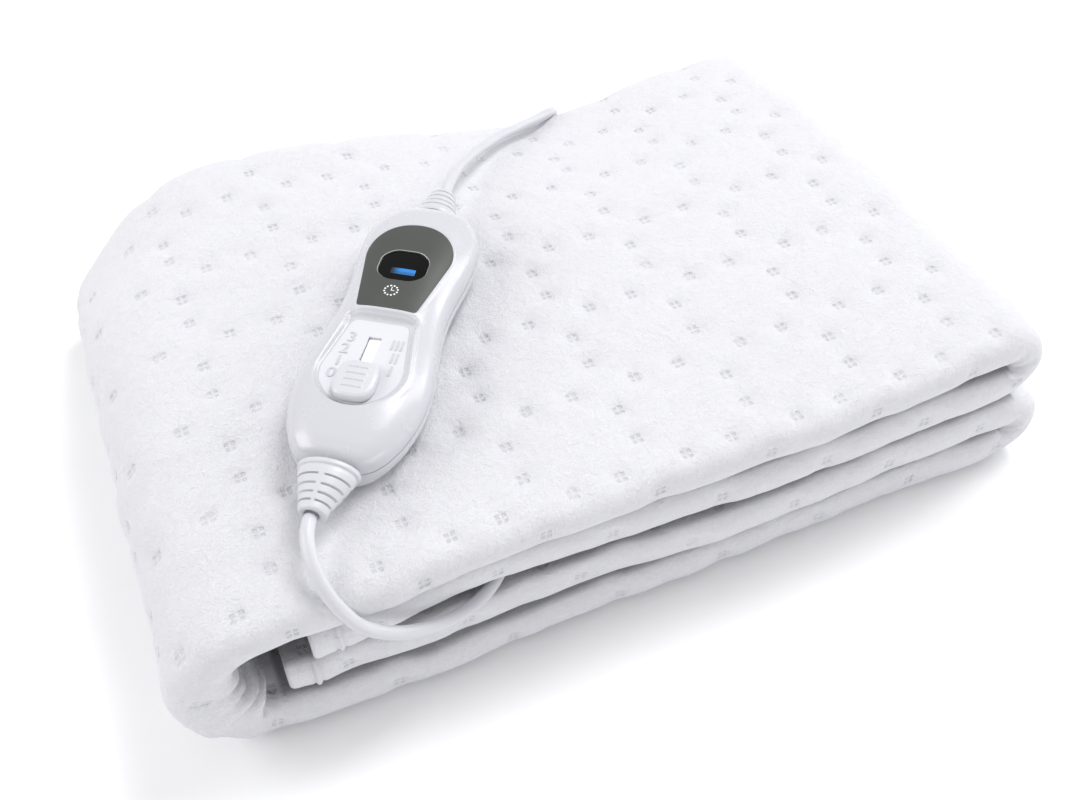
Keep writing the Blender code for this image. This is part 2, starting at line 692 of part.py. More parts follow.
def mains_lead_route():
    """From the upper relief over the back edge, down behind and along to the coil."""
    return [on_controller(UPPER_RELIEF["end"] + END_GAP),
            (-0.0090, 0.0572, 0.0871), (-0.0020, 0.0668, 0.0840), (0.0062, 0.0762, 0.0802),
            (0.0135, 0.0838, 0.0770), (0.0218, 0.0912, 0.0737), (0.0318, 0.0993, 0.0701),
            (0.0438, 0.1062, 0.0667), (0.0548, 0.1112, 0.0647), (0.0635, 0.1162, 0.0630),
            (0.0700, 0.1225, 0.0592), (0.0740, 0.1293, 0.0525), (0.0752, 0.1350, 0.0440),
            (0.0743, 0.1392, 0.0360), (0.0728, 0.1414, 0.0280), (0.0702, 0.1426, 0.0197),
            (0.0649, 0.1430, 0.0112), (0.0565, 0.1426, 0.0053), (0.0455, 0.1413, 0.0029),
            (0.0310, 0.1394, CORD_R), (0.0150, 0.1380, CORD_R), (-0.0080, 0.1369, CORD_R),
            (-0.0380, 0.1365, CORD_R), (-0.0695, 0.1365, CORD_R)]


def coil(group, finish):
    """Outer shape of the wound coil: a turned ring with soft corners."""
    half = COIL_ACROSS * CORD_D / 2
    high = COIL_HIGH * CORD_D
    soft = COIL_CORNER
    inside, outside = COIL_MID_R - half, COIL_MID_R + half
    section = ((outside, high - soft), (outside, soft), (outside - soft, 0.0),
               (inside + soft, 0.0), (inside, soft), (inside, high - soft),
               (inside + soft, high), (outside - soft, high))
    item = turn_profile(group, "mains_lead_coil", section, True, COIL_STEPS, finish)
    item.location = (*COIL_AT, 0.0)


def tie(group, finish):
    """The strap over the coil: an arch whose two legs stand on the surface."""
    half = COIL_ACROSS * CORD_D / 2
    high = COIL_HIGH * CORD_D + GAP
    outer, inner = half + GAP, half + TIE_SLACK
    outline = ((outer, 0), (outer + TIE_THICK, 0), (outer + TIE_THICK, high + TIE_THICK),
               (-inner - TIE_THICK, high + TIE_THICK), (-inner - TIE_THICK, 0), (-inner, 0),
               (-inner, high), (outer, high))
    item = flat_piece(group, "coil_tie", outline, TIE_WIDTH, finish)
    outwards = Matrix.Rotation(TIE_AT, 4, "Z")
    stand_up = Matrix.Rotation(math.pi / 2, 4, "X")
    place = Vector((*COIL_AT, 0.0)) + outwards @ Vector((COIL_MID_R, 0, 0))
    item.matrix_world = Matrix.Translation(place) @ outwards @ stand_up


def flat_piece(group, name, outline, thick, finish, parent=None):
    """A filled 2D curve with half its thickness on each side."""
    data = bpy.data.curves.new(name, "CURVE")
    data.dimensions = "2D"
    data.fill_mode = "BOTH"
    data.extrude = thick / 2
    spline = data.splines.new("POLY")
    spline.points.add(len(outline) - 1)
    for point, (x, y) in zip(spline.points, outline):
        point.co = (x, y, 0.0, 1.0)
    spline.use_cyclic_u = True
    return add(group, name, data, finish, parent)


def plug(group, finishes):
    """Flat two-pin plug lying on its side, its relief towards the coil."""
    stand = bpy.data.objects.new("plug_place", None)
    group.objects.link(stand)
    stand.location = (*PLUG_AT, PLUG_THICK / 2)
    stand.rotation_euler = (0, 0, PLUG_TURN)
    outline = [(x, -half) for x, half in PLUG_SIDE] + list(reversed(PLUG_SIDE))
    body = flat_piece(group, "plug_body", outline, PLUG_THICK, finishes["cord_white"], stand)
    weld = body.modifiers.new("weld", "WELD")
    weld.merge_threshold = MERGE
    edges = body.modifiers.new("edges", "BEVEL")
    edges.width = PLUG_EDGE
    edges.segments = 2
    edges.limit_method = "ANGLE"
    edges.angle_limit = EDGE_ANGLE
    for side, name in ((1, "plug_pin_left"), (-1, "plug_pin_right")):
        pin(group, name, side, finishes["pin_metal"], stand)
    relief(group, "plug_relief", PLUG_RELIEF, 0.0, finishes["cord_white"], stand)


def pin(group, name, side, finish, parent):
    """A round pin with a chamfered tip."""
    radius = PIN_D / 2
    bm = bmesh.new()
    bmesh.ops.create_cone(bm, cap_ends=True, segments=12, radius1=radius, radius2=radius,
                          depth=PIN_LENGTH)
    tip = [v for v in bm.verts if v.co.z > 0]
    bmesh.ops.bevel(bm, geom=[e for e in bm.edges if all(v in tip for v in e.verts)],
                    offset=PIN_CHAMFER, segments=2, affect="EDGES", profile=0.5)
    mesh = bpy.data.meshes.new(name)
    bm.to_mesh(mesh)
    bm.free()
    item = add(group, name, mesh, finish, parent)
    item.location = (PLUG_LENGTH + GAP + PIN_LENGTH / 2, side * PIN_SPACING / 2, 0)
    item.rotation_euler = (0, math.pi / 2, 0)


def on_plug(along, height):
    """World place of a point on the plug's long axis."""
    turn = Matrix.Rotation(PLUG_TURN, 3, "Z")
    return Vector((*PLUG_AT, height)) + turn @ Vector((along, 0, 0))


def plug_lead_route():
    """Round the coil's outer side, then a turn the other way and into the plug's relief."""
    tip = PLUG_RELIEF["end"] - END_GAP
    leaving = [(COIL_AT[0] + COIL_LEAVE_R * math.cos(a), COIL_AT[1] + COIL_LEAVE_R * math.sin(a),
                CORD_R) for a in np.radians((59.0, 45.0, 30.0, 15.2))]
    return leaving + [(-0.0482, 0.1726, 0.0034), (-0.0420, 0.1665, 0.0043),
                      (-0.0339, 0.1628, 0.0054), (-0.0251, 0.1621, 0.0063),
                      on_plug(tip - 0.0095, 0.0068), on_plug(tip, PLUG_THICK / 2)]


def main():
    clear_scene()
    parts = collection(OBJECT)
    cutters = collection("cutters")
    finishes = {name: material(name) for name in COLOURS}
    blanket(parts, finishes["felt"])
    controller = bpy.data.objects.new("controller_place", None)
    parts.objects.link(controller)
    controller.location = CONTROLLER_AT
    controller.rotation_euler = (0, 0, CONTROLLER_TURN)
    shell(parts, "lower_shell", SEAM_HEIGHT, [0.0] * len(SHELL_STATIONS), BELLY_POWER,
          finishes["shell_white"], controller)
    upper_shell(parts, cutters, finishes["shell_white"], controller)
    display(parts, cutters, finishes, controller)
    slider(parts, finishes, controller)
    for name, spec in (("lower_relief", LOWER_RELIEF), ("upper_relief", UPPER_RELIEF)):
        relief(parts, name, spec, RELIEF_HEIGHT, finishes["shell_white"], controller)
    cord_tube(parts, "blanket_lead", blanket_lead_route(), finishes["cord_white"])
    cord_tube(parts, "mains_lead", mains_lead_route(), finishes["cord_white"])
    coil(parts, finishes["cord_white"])
    tie(parts, finishes["tie_white"])
    plug(parts, finishes)
    cord_tube(parts, "plug_lead", plug_lead_route(), finishes["cord_white"])


main()
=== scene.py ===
"""Electric underblanket, folded in four, with its hand controller and its leads.

Laid out as a Blender add-on: property groups hold the sizes and colours, each group of
pieces has an operator, and a panel in the 3D view's sidebar lists them. Lengths are in
metres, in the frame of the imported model: X along the folded stack, -Y the side with the
folded front edges, Z up, and the origin in the middle of the underside.
"""

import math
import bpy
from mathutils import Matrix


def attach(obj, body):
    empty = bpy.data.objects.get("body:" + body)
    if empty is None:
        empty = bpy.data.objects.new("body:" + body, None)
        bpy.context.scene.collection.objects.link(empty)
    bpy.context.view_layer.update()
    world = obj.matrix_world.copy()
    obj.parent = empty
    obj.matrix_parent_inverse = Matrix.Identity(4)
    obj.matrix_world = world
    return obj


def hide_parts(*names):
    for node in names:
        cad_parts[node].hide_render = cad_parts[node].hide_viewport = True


bl_info = {
    "name": "Folded underblanket",
    "version": (1, 0, 0),
    "blender": (4, 5, 0),
    "location": "3D view > Sidebar > Underblanket",
    "description": "Builds a folded electric underblanket with its controller and leads",
    "category": "Add Mesh",
}

import bmesh
import bpy
import numpy as np
from bpy.props import FloatProperty, FloatVectorProperty, IntProperty, PointerProperty
from mathutils import Matrix, Vector

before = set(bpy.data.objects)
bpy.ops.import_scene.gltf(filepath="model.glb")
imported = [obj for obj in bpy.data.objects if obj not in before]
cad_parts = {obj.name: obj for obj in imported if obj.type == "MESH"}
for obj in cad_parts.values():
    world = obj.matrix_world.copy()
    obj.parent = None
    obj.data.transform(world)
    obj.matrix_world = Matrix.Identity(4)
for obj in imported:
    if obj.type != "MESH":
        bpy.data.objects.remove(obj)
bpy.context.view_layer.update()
BODY = "underblanket"
MM = 0.001


# ------------------------------------------------------------------ materials
def srgb(code):
    """Linear RGBA, opaque, from an sRGB hex code such as F4F4F7."""
    channels = np.array([int(code[k:k + 2], 16) for k in (0, 2, 4)]) / 255
    linear = np.where(channels <= 0.04045, channels / 12.92,
                      ((channels + 0.055) / 1.055) ** 2.4)
    return (*linear.tolist(), 1.0)


def node(tree, kind, settings=None, **links):
    """Adds a node. Links are socket name = value, or = another node's output socket."""
    made = tree.nodes.new(kind)
    for name, value in (settings or {}).items():
        setattr(made, name, value)
    for name, value in links.items():
        key = int(name[1:]) if name[1:].isdigit() else name.replace("_", " ")
        if isinstance(value, bpy.types.NodeSocket):
            tree.links.new(value, made.inputs[key])
        else:
            made.inputs[key].default_value = value
    return made


def finish(name, colour, roughness, **sockets):
    """A Principled material from a linear colour. Returns it, its tree and its shader."""
    made = bpy.data.materials.new(name)
    made.use_nodes = True
    shader = made.node_tree.nodes["Principled BSDF"]
    shader.inputs["Base Color"].default_value = (*colour[:3], 1.0)
    shader.inputs["Roughness"].default_value = roughness
    for socket, value in sockets.items():
        shader.inputs[socket.replace("_", " ")].default_value = value
    made.diffuse_color = (*colour[:3], 1.0)
    return made, made.node_tree, shader


# ------------------------------------------------------------------ mesh helpers
def grid_faces(rows, columns, wrap_rows=False, wrap_columns=False):
    """Quads of a grid as vertex indices, and the same corners in unwrapped row and column."""
    i, j = np.meshgrid(np.arange(rows - 1 + wrap_rows), np.arange(columns - 1 + wrap_columns),
                       indexing="ij")
    i, j = i.ravel(), j.ravel()
    row = np.stack([i, i + 1, i + 1, i], 1)
    column = np.stack([j, j, j + 1, j + 1], 1)
    return (row % rows) * columns + column % columns, row, column


def make_mesh(name, points, faces, smooth_angle=None):
    """A mesh object from arrays; faces is a list of index lists or an array of quads."""
    mesh = bpy.data.meshes.new(name)
    faces = faces.tolist() if isinstance(faces, np.ndarray) else faces
    mesh.from_pydata(np.asarray(points, float).reshape(-1, 3).tolist(), [], faces)
    mesh.shade_smooth()
    if smooth_angle:
        mesh.set_sharp_from_angle(angle=math.radians(smooth_angle))
    made = bpy.data.objects.new(name, mesh)
    bpy.context.scene.collection.objects.link(made)
    return made


def face_outwards(made):
    """Turns a closed mesh inside out where its signed volume is negative."""
    mesh = made.data
    mesh.calc_loop_triangles()
    co = np.empty(len(mesh.vertices) * 3)
    mesh.vertices.foreach_get("co", co)
    triangles = np.empty(len(mesh.loop_triangles) * 3, int)
    mesh.loop_triangles.foreach_get("vertices", triangles)
    a, b, c = co.reshape(-1, 3)[triangles.reshape(-1, 3)].transpose(1, 0, 2)
    if np.einsum("ij,ij->i", a, np.cross(b, c)).sum() < 0:
        mesh.flip_normals()


def skin(name, rings, smooth_angle=None, poles=False, chart=None):
    """Closed skin over rings (n, m, 3): quads between rings, and a face or pole at each end.

    chart turns the quads' rows and columns into the pairs of a UV map.
    """
    rings = np.asarray(rings, float)
    n, m = rings.shape[:2]
    quads, row, column = grid_faces(n, m, False, True)
    points = rings.reshape(-1, 3)
    if poles:
        points = np.concatenate([points, rings[:1].mean(1), rings[-1:].mean(1)])
        k = np.arange(m)
        start = np.stack([np.full(m, n * m), (k + 1) % m, k], 1)
        end = np.stack([np.full(m, n * m + 1), (n - 1) * m + k, (n - 1) * m + (k + 1) % m], 1)
        ends = start.tolist() + end.tolist()
    else:
        ends = [list(range(m))[::-1], list(range((n - 1) * m, n * m))]
    made = make_mesh(name, points, quads.tolist() + ends, smooth_angle)
    if chart:
        corners = np.zeros((len(made.data.loops), 2), np.float32)
        corners[:row.size] = np.stack(chart(row, column), 2).reshape(-1, 2)
        made.data.uv_layers.new(name="chart").data.foreach_set("uv", corners.ravel())
    face_outwards(made)
    return made


def place(made, matrix):
    """Moves a piece's mesh and leaves its object at the origin."""
    made.data.transform(matrix)
    made.data.update()
    return made


def settle_piece(made, material, body=BODY, stands_for=()):
    """Gives a finished piece its material, body and the solids it stands for."""
    for one in material if isinstance(material, (list, tuple)) else (material,):
        made.data.materials.append(one)
    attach(made, body)
    if stands_for:
        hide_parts(*stands_for)


def ease(t):
    """Smooth step from 0 to 1."""
    t = np.clip(t, 0, 1)
    return t * t * (3 - 2 * t)


def hump(offset, reach):
    """A bell curve: 1 at the middle and 0.37 at the reach."""
    return np.exp(-(offset / reach) ** 2)


def smooth_table(x, table, column):
    """Cubic Hermite interpolation of one column of a table of rows sorted by column 0."""
    xs, ys = np.array(table)[:, 0], np.array(table)[:, column]
    slopes = np.gradient(ys, xs)
    k = np.clip(np.searchsorted(xs, x) - 1, 0, len(xs) - 2)
    step = xs[k + 1] - xs[k]
    t = np.clip((x - xs[k]) / step, 0, 1)
    return (ys[k] * (1 + 2 * t) * (1 - t) ** 2 + slopes[k] * step * t * (1 - t) ** 2
            + ys[k + 1] * t ** 2 * (3 - 2 * t) + slopes[k + 1] * step * t ** 2 * (t - 1))


def smooth_curve(route, step):
    """Even points on a centripetal Catmull-Rom curve through the route's points."""
    route = np.array(route, float)
    ends = np.concatenate([[2 * route[0] - route[1]], route, [2 * route[-1] - route[-2]]])
    a, b, c, d = ends[:-3, None], ends[1:-2, None], ends[2:-1, None], ends[3:, None]
    root = [np.sqrt(np.linalg.norm(q - p, axis=2, keepdims=True))
            for p, q in ((a, b), (b, c), (c, d))]
    t1, t2, t3 = root[0], root[0] + root[1], root[0] + root[1] + root[2]
    t = t1 + (t2 - t1) * np.linspace(0, 1, 24, endpoint=False)[None, :, None]
    p1 = a + (b - a) * t / t1
    p2 = b + (c - b) * (t - t1) / (t2 - t1)
    p3 = c + (d - c) * (t - t2) / (t3 - t2)
    p12 = p1 + (p2 - p1) * t / t2
    p23 = p2 + (p3 - p2) * (t - t1) / (t3 - t1)
    dense = (p12 + (p23 - p12) * (t - t1) / (t2 - t1)).reshape(-1, 3)
    dense = np.concatenate([dense, route[-1:]])
    run = np.concatenate(([0], np.cumsum(np.linalg.norm(np.diff(dense, axis=0), axis=1))))
    even = np.linspace(0, run[-1], max(3, round(run[-1] / step)) + 1)
    return np.stack([np.interp(even, run, dense[:, k]) for k in range(3)], 1)


END_ANGLES = np.array([0.35, 0.8, 1.2])     # of the circles that round a tube's ends


def tube(name, path, radius, sides):
    """A round tube: circles carried along the path on frames turned as little as possible.

    Three smaller circles round off each end.
    """
    path = np.asarray(path, float)
    tangent = np.gradient(path, axis=0)
    tangent /= np.linalg.norm(tangent, axis=1, keepdims=True)
    side = np.cross(tangent[0], (0, 0, 1.0))
    side /= np.linalg.norm(side)
    frames = [side]
    for one in tangent[1:]:
        side = side - one * side.dot(one)
        side /= np.linalg.norm(side)
        frames.append(side)
    frames = np.array(frames)
    other = np.cross(tangent, frames)
    angle = np.linspace(0, 2 * math.pi, sides, endpoint=False)[None, :, None]
    bulge = np.sin(END_ANGLES)
    along = (1 - np.cos(END_ANGLES)) * radius * 0.5
    first = path[0] + tangent[0] * (along[:, None] - along[-1])
    last = path[-1] - tangent[-1] * (along[::-1, None] - along[-1])
    scale = np.concatenate([bulge, np.ones(len(path) - 2), bulge[::-1]])
    path = np.concatenate([first, path[1:-1], last])
    frames = np.concatenate([frames[[0] * 3], frames[1:-1], frames[[-1] * 3]])
    other = np.concatenate([other[[0] * 3], other[1:-1], other[[-1] * 3]])
    circle = np.cos(angle) * frames[:, None] + np.sin(angle) * other[:, None]
    return skin(name, path[:, None] + circle * radius * scale[:, None, None], poles=True)


# ------------------------------------------------------------------ the folded cloth
LAYERS = {      # height of each layer's middle at the left, middle and right of the stack
    "A": (0.0675, 0.0673, 0.0716),
    "B": (0.0480, 0.0480, 0.0502),
    "C": (0.0285, 0.0285, 0.0304),
    "D": (0.0090, 0.0090, 0.0090),
}
STACK = (0.375, 0.262)
MIDDLE = (0.1875, 0.131)        # of the stack, from its front left corner
PLY = 0.0056                    # thickness of one ply
PLY_STEP = 0.0062               # from one ply's middle to the next
HALF_LAYER = 0.009              # half of a layer of three plies
LOOSE_INSET = 0.0035            # how far ply a's free edge stands back from the front
LOWER_BEND_OUT = 0.0100         # how much further right the lower bend reaches
BEND_STEPS = {"left": 38, "right": 30}
STATION_STEP = 0.0046           # along the layers that mostly lie inside
HEM_END = {"B": 0.052, "C": 0.041}      # where the hemmed ends lie, from the left
# Both in millimetres from a hemmed end: stations, and the stitched band's heights there
HEM_STATIONS = (0, 0.25, 0.7, 1.4, 2.4, 3.8, 5.4, 7.0, 8.4, 9.1, 9.6, 10.1, 10.6, 11.1, 11.6,
                12.1, 12.6, 13.2, 14.2)
HEM_BAND = ((0.0, -0.35), (8.4, -0.25), (9.3, -0.75), (10.1, 0.55), (11.1, 0.60),
            (12.1, -0.55), (13.4, 0.0), (16.0, 0.0))
END_ROUND = 0.0026              # over which the cloth's ends are rounded
END_SHARE = 0.80                # of its thickness at its very end
FRONT_FADE = 0.20               # how far back the shifts of the front reach
SAGS = (        # x, y, reach in x, reach in y, share of the height
    (0.250, 0.262, 0.085, 0.066, -0.23),
    (0.000, 0.262, 0.040, 0.055, -0.40),
    (0.385, 0.275, 0.060, 0.060, -0.14),
    (0.100, 0.200, 0.070, 0.060, 0.015),
    (0.205, 0.060, 0.060, 0.070, -0.012),
)
BACK_SHIFTS = (     # x, height, reach in x, reach in height, shift of the back edge
    (0.245, 0.075, 0.080, 0.040, -0.011),
    (0.375, 0.075, 0.070, 0.040, -0.005),
    (0.000, 0.060, 0.045, 0.060, -0.013),
    (0.260, 0.020, 0.110, 0.014, 0.002),
)
# How far each layer's front fold stands back, in millimetres, against X in millimetres
FRONTS = {
    "A": ((30, -0.5), (85, -1.5), (130, 1.0), (210, 1.5), (260, 0), (310, 0.5), (350, 3.5)),
    "B": ((50, 0), (105, 3.5), (150, 3.5), (200, 3), (245, 1.0), (295, 1.5), (350, 2.0)),
    "C": ((40, 2.5), (100, 1.0), (135, 3), (175, 2), (215, -1.5), (270, -1.5), (350, 1.0)),
    "D": ((40, 0.5), (80, -1.5), (130, -1), (240, -0.5), (305, 0.5), (350, 0.5), (390, 1.5)),
}
LEAD_ROOM = {"x": 0.132, "reach_x": 0.040, "reach_y": 0.052, "up": 0.0046, "down": 0.0024}
# Diamonds of four spot welds: how they repeat along and across the cloth, where the first
# lies along it, and how far a spot lies from its diamond's middle
WELD = {"repeat": (0.0477, 0.0439), "first": 0.0473, "reach": 0.014}
WELD_SQUARE = {"middle": 0.0012, "edge": (0.00055, 0.00098)}
DIMPLE_REACH = 0.0038
PUFF_REACH = 0.014
# Rows: share of the height, grain along and across, start along and across, seed
RIPPLES = ((1.0, 0.095, 0.017, 7, 9, 5), (0.6, 0.042, 0.012, 3, 5, 8))
UNEVEN_FRONT = ((0.0007, 0.021, 31), (0.0005, 0.009, 33))       # depth, grain, seed
# Share by which a front fold is fatter: everywhere, more at the right, and unevenly
SWELL = {"all": 0.045, "right": 0.050, "from": 0.20, "over": 0.16, "uneven": 0.018,
         "grain": 0.012, "reach": 0.017}
# Where two layers press together, as distances behind the front: from, full, fading, end
CREASE = (0.0030, 0.0060, 0.0300, 0.0600)
CREASE_UNEVEN = (0.0012, 0.013, 41)         # depth, grain, seed
# Radial creases of the bends' mouths at the front: how far back they reach, and for each
# bend rows of angle on the bend, half width in degrees, how far the inner ply bulges into
# the bend, and how far it stands forward
MOUTH = {"from": 0.004, "reach": 0.045, "edge": 0.02}
BUCKLES = {
    "left": ((160, 10, 0.0050, 0.0010), (183, 8, 0.0085, 0.0012),
             (205, 9, 0.0130, 0.0016), (234, 12, 0.0130, 0.0014)),
    "upper right": ((-52, 12, 0.0, -0.0012), (-18, 11, 0.0, 0.0016), (14, 9, 0.0, -0.0016),
                    (44, 11, 0.0, 0.0012)),
    "lower right": ((-40, 11, 0.0, 0.0015), (-8, 9, 0.0, -0.0017), (22, 10, 0.0, 0.0015),
                    (55, 12, 0.0, -0.0014)),
}
ON = {"B": 1, "upper right": 2, "A": 3, "left": 4, "D": 5, "lower right": 6, "C": 7}


def layer_height(layer, x):
    """Height of a layer's middle: eased from the left to the middle and on to the right."""
    left, middle, right = LAYERS[layer]
    share = 2 * np.asarray(x) / STACK[0]
    return left + (middle - left) * ease(share) + (right - middle) * ease(share - 1)


def hem_stations(end, inner, step):
    """Stations from a hemmed end: close together over the hem, then even."""
    near = np.array(HEM_STATIONS) * MM
    start = end + near[-1]
    even = np.linspace(start, inner, round((inner - start) / step) + 1)
    return np.concatenate([end + near[:-1], even])


def section_path(step, fine):
    """Rows of x, z, bend angle and stretch number, from B's hem round to C's hem.

    The stretch number is the one in ON. The angle is 90 where a bend meets the layer above
    it and 270 or -90 where it meets the layer below it. It is 0 on the flat layers.
    """
    left = HALF_LAYER + (LAYERS["A"][0] - LAYERS["D"][0]) / 2
    right = STACK[0] - HALF_LAYER - (LAYERS["A"][2] - LAYERS["B"][2]) / 2
    at_left = {name: float(layer_height(name, left)) for name in LAYERS}
    low_right = right + LOWER_BEND_OUT
    at_right = {name: float(layer_height(name, right)) for name in LAYERS}
    even = np.linspace(left, low_right, math.ceil((low_right - left) / step) + 1)
    top = np.linspace(left, right, math.ceil((right - left) / fine) + 1)

    def flat(layer, xs, number):
        return np.stack([xs, layer_height(layer, xs), np.zeros(len(xs)),
                         np.full(len(xs), number)], 1)

    def turn(x, low, high, start, end, steps, number):
        degrees = np.linspace(start, end, steps + 1)[1:-1]
        angle = np.radians(degrees)
        radius = (high - low) / 2
        return np.stack([x + radius * np.cos(angle), (low + high) / 2 + radius * np.sin(angle),
                         degrees, np.full(len(angle), number)], 1)

    return np.concatenate([
        flat("B", hem_stations(HEM_END["B"], right, step), ON["B"]),
        turn(right, at_right["B"], at_right["A"], -90, 90, BEND_STEPS["right"],
             ON["upper right"]),
        flat("A", top[::-1], ON["A"]),
        turn(left, at_left["D"], at_left["A"], 90, 270, BEND_STEPS["left"], ON["left"]),
        flat("D", even, ON["D"]),
        turn(low_right, at_right["D"], at_right["C"], -90, 90, BEND_STEPS["right"],
             ON["lower right"]),
        flat("C", hem_stations(HEM_END["C"], low_right, step)[::-1], ON["C"]),
    ])


def strip_outline():
    """Outline of the letter-folded strip, as rows: y, distance from the layer's middle,
    place across the flat cloth, whether it is an outer face, angle on the front fold (or 0).

    Ply b lies outermost, ply a in the middle and ply c innermost. The front fold joins b to
    c round a's free edge, and the back fold joins a to b.
    """
    half, front = PLY / 2, HALF_LAYER
    back = STACK[1] - PLY_STEP / 2 - half
    outer = PLY_STEP + half
    loose = front + LOOSE_INSET
    fold = math.pi * outer
    a_start = back - front + math.pi * (PLY_STEP / 2 + half)

    def run(start, end, height, count, across, outside):
        y = np.linspace(start, end, count)
        rows = np.stack([y, np.full(count, height), y, np.full(count, outside),
                         np.zeros(count)], 1)
        rows[:, 2] = {"a": a_start + back - y, "b": y - front, "c": front - fold - y}[across]
        return rows

    def turn(y, h, radius, start, end, count, across, outside):
        degrees = np.linspace(start, end, count + 2)[1:-1]
        angle = np.radians(degrees)
        turned = np.radians(np.abs(degrees - start))
        if across == "front":
            place_across = -fold * np.abs(degrees - 90) / 180
        elif across == "back":
            place_across = back - front + turned * radius
        else:
            place_across = np.full(count, {"a edge": a_start + back - loose,
                                           "c edge": front - fold - back}[across])
        mark = degrees if across == "front" else np.zeros(count)
        return np.stack([y + radius * np.cos(angle), h + radius * np.sin(angle), place_across,
                         np.full(count, outside), mark * outside], 1)

    return np.concatenate([
        run(loose, back, half, 8, "a", 0),
        run(back, front, PLY_STEP - half, 8, "b", 0),
        turn(front, 0, PLY_STEP - half, 90, 270, 6, "front", 0),
        run(front, back, half - PLY_STEP, 8, "c", 0),
        turn(back, -PLY_STEP, half, 90, -90, 4, "c edge", 0),
        run(back, front, -outer, 60, "c", 1),
        turn(front, 0, outer, 270, 90, 18, "front", 1),
        run(front, back, outer, 84, "b", 1),
        turn(back, PLY_STEP / 2, PLY_STEP / 2 + half, 90, -90, 10, "back", 1),
        run(back, loose, -half, 8, "a", 0),
        turn(loose, 0, half, 270, 90, 4, "a edge", 0),
    ])


def settle(points):
    """Sag, edge shift and the lead's way in, as smooth moves of the squared-up stack."""
    x, y, z = points.T
    share = sum(amount * hump(x - sx, rx) * hump(y - sy, ry) for sx, sy, rx, ry, amount in SAGS)
    at_back = np.clip(y / STACK[1], 0, 1) ** 2
    shift = sum(hump(x - sx, rx) * hump(z - sz, rz) * back * at_back
                for sx, sz, rx, rz, back in BACK_SHIFTS)
    gap = (layer_height("B", x) + layer_height("C", x)) / 2
    top = layer_height("A", x) + HALF_LAYER
    room = hump(x - LEAD_ROOM["x"], LEAD_ROOM["reach_x"]) * hump(y, LEAD_ROOM["reach_y"])
    lift = np.where(z > gap, LEAD_ROOM["up"] * (top - z) / (top - gap),
                    -LEAD_ROOM["down"] * z / gap)
    return np.stack([x, y + shift, (z + room * lift) * (1 + share)], 1)


def soft_noise(a, b, seed):
    """Smooth noise: seeded random values at whole numbers, blended by an eased weight."""
    table = np.random.default_rng(seed).uniform(-1, 1, (64, 64))
    ia, ib = np.floor(a).astype(int), np.floor(b).astype(int)
    fa, fb = ease(a - ia), ease(b - ib)
    near = table[ia % 64, ib % 64] * (1 - fb) + table[ia % 64, (ib + 1) % 64] * fb
    far = table[(ia + 1) % 64, ib % 64] * (1 - fb) + table[(ia + 1) % 64, (ib + 1) % 64] * fb
    return near * (1 - fa) + far * fa


def weld_distance(along, across):
    """Distance on the flat cloth to the nearest spot of the diamonds of four."""
    u = (along + WELD["repeat"][0] / 2) % WELD["repeat"][0] - WELD["repeat"][0] / 2
    w = (across + WELD["repeat"][1] / 2) % WELD["repeat"][1] - WELD["repeat"][1] / 2
    return np.minimum(np.hypot(np.abs(u) - WELD["reach"], w),
                      np.hypot(u, np.abs(w) - WELD["reach"]))


def front_shift(path):
    """How far the front fold stands back at each station, eased round the bends."""
    x, angle, number = path[:, 0], np.radians(path[:, 2]), path[:, 3]
    rows = {name: np.interp(x / MM, *np.array(table).T) * MM
            for name, table in FRONTS.items()}
    up = (1 + np.sin(angle)) / 2
    mixed = {"upper right": rows["A"] * up + rows["B"] * (1 - up),
             "left": rows["A"] * up + rows["D"] * (1 - up),
             "lower right": rows["C"] * up + rows["D"] * (1 - up)}
    return sum(np.where(number == ON[name], values, 0)
               for name, values in {**rows, **mixed}.items())


def cloth_relief(along, across, look):
    """Rise of the quilted face: dimples at the welds, a puff between, and soft ripples."""
    away = weld_distance(along, across)
    dimple = -look.dimple_depth * hump(away, DIMPLE_REACH)
    puff = look.puff * ease(away / PUFF_REACH)
    ripple = look.ripple * sum(
        share * soft_noise(along / grain + start, across / across_grain + across_start, seed)
        for share, grain, across_grain, start, across_start, seed in RIPPLES)
    return dimple + puff + ripple


def hem_relief(end):
    """Height of a hem's stitched band over its distance from the cloth's end."""
    return np.interp(end / MM, *np.array(HEM_BAND).T) * MM


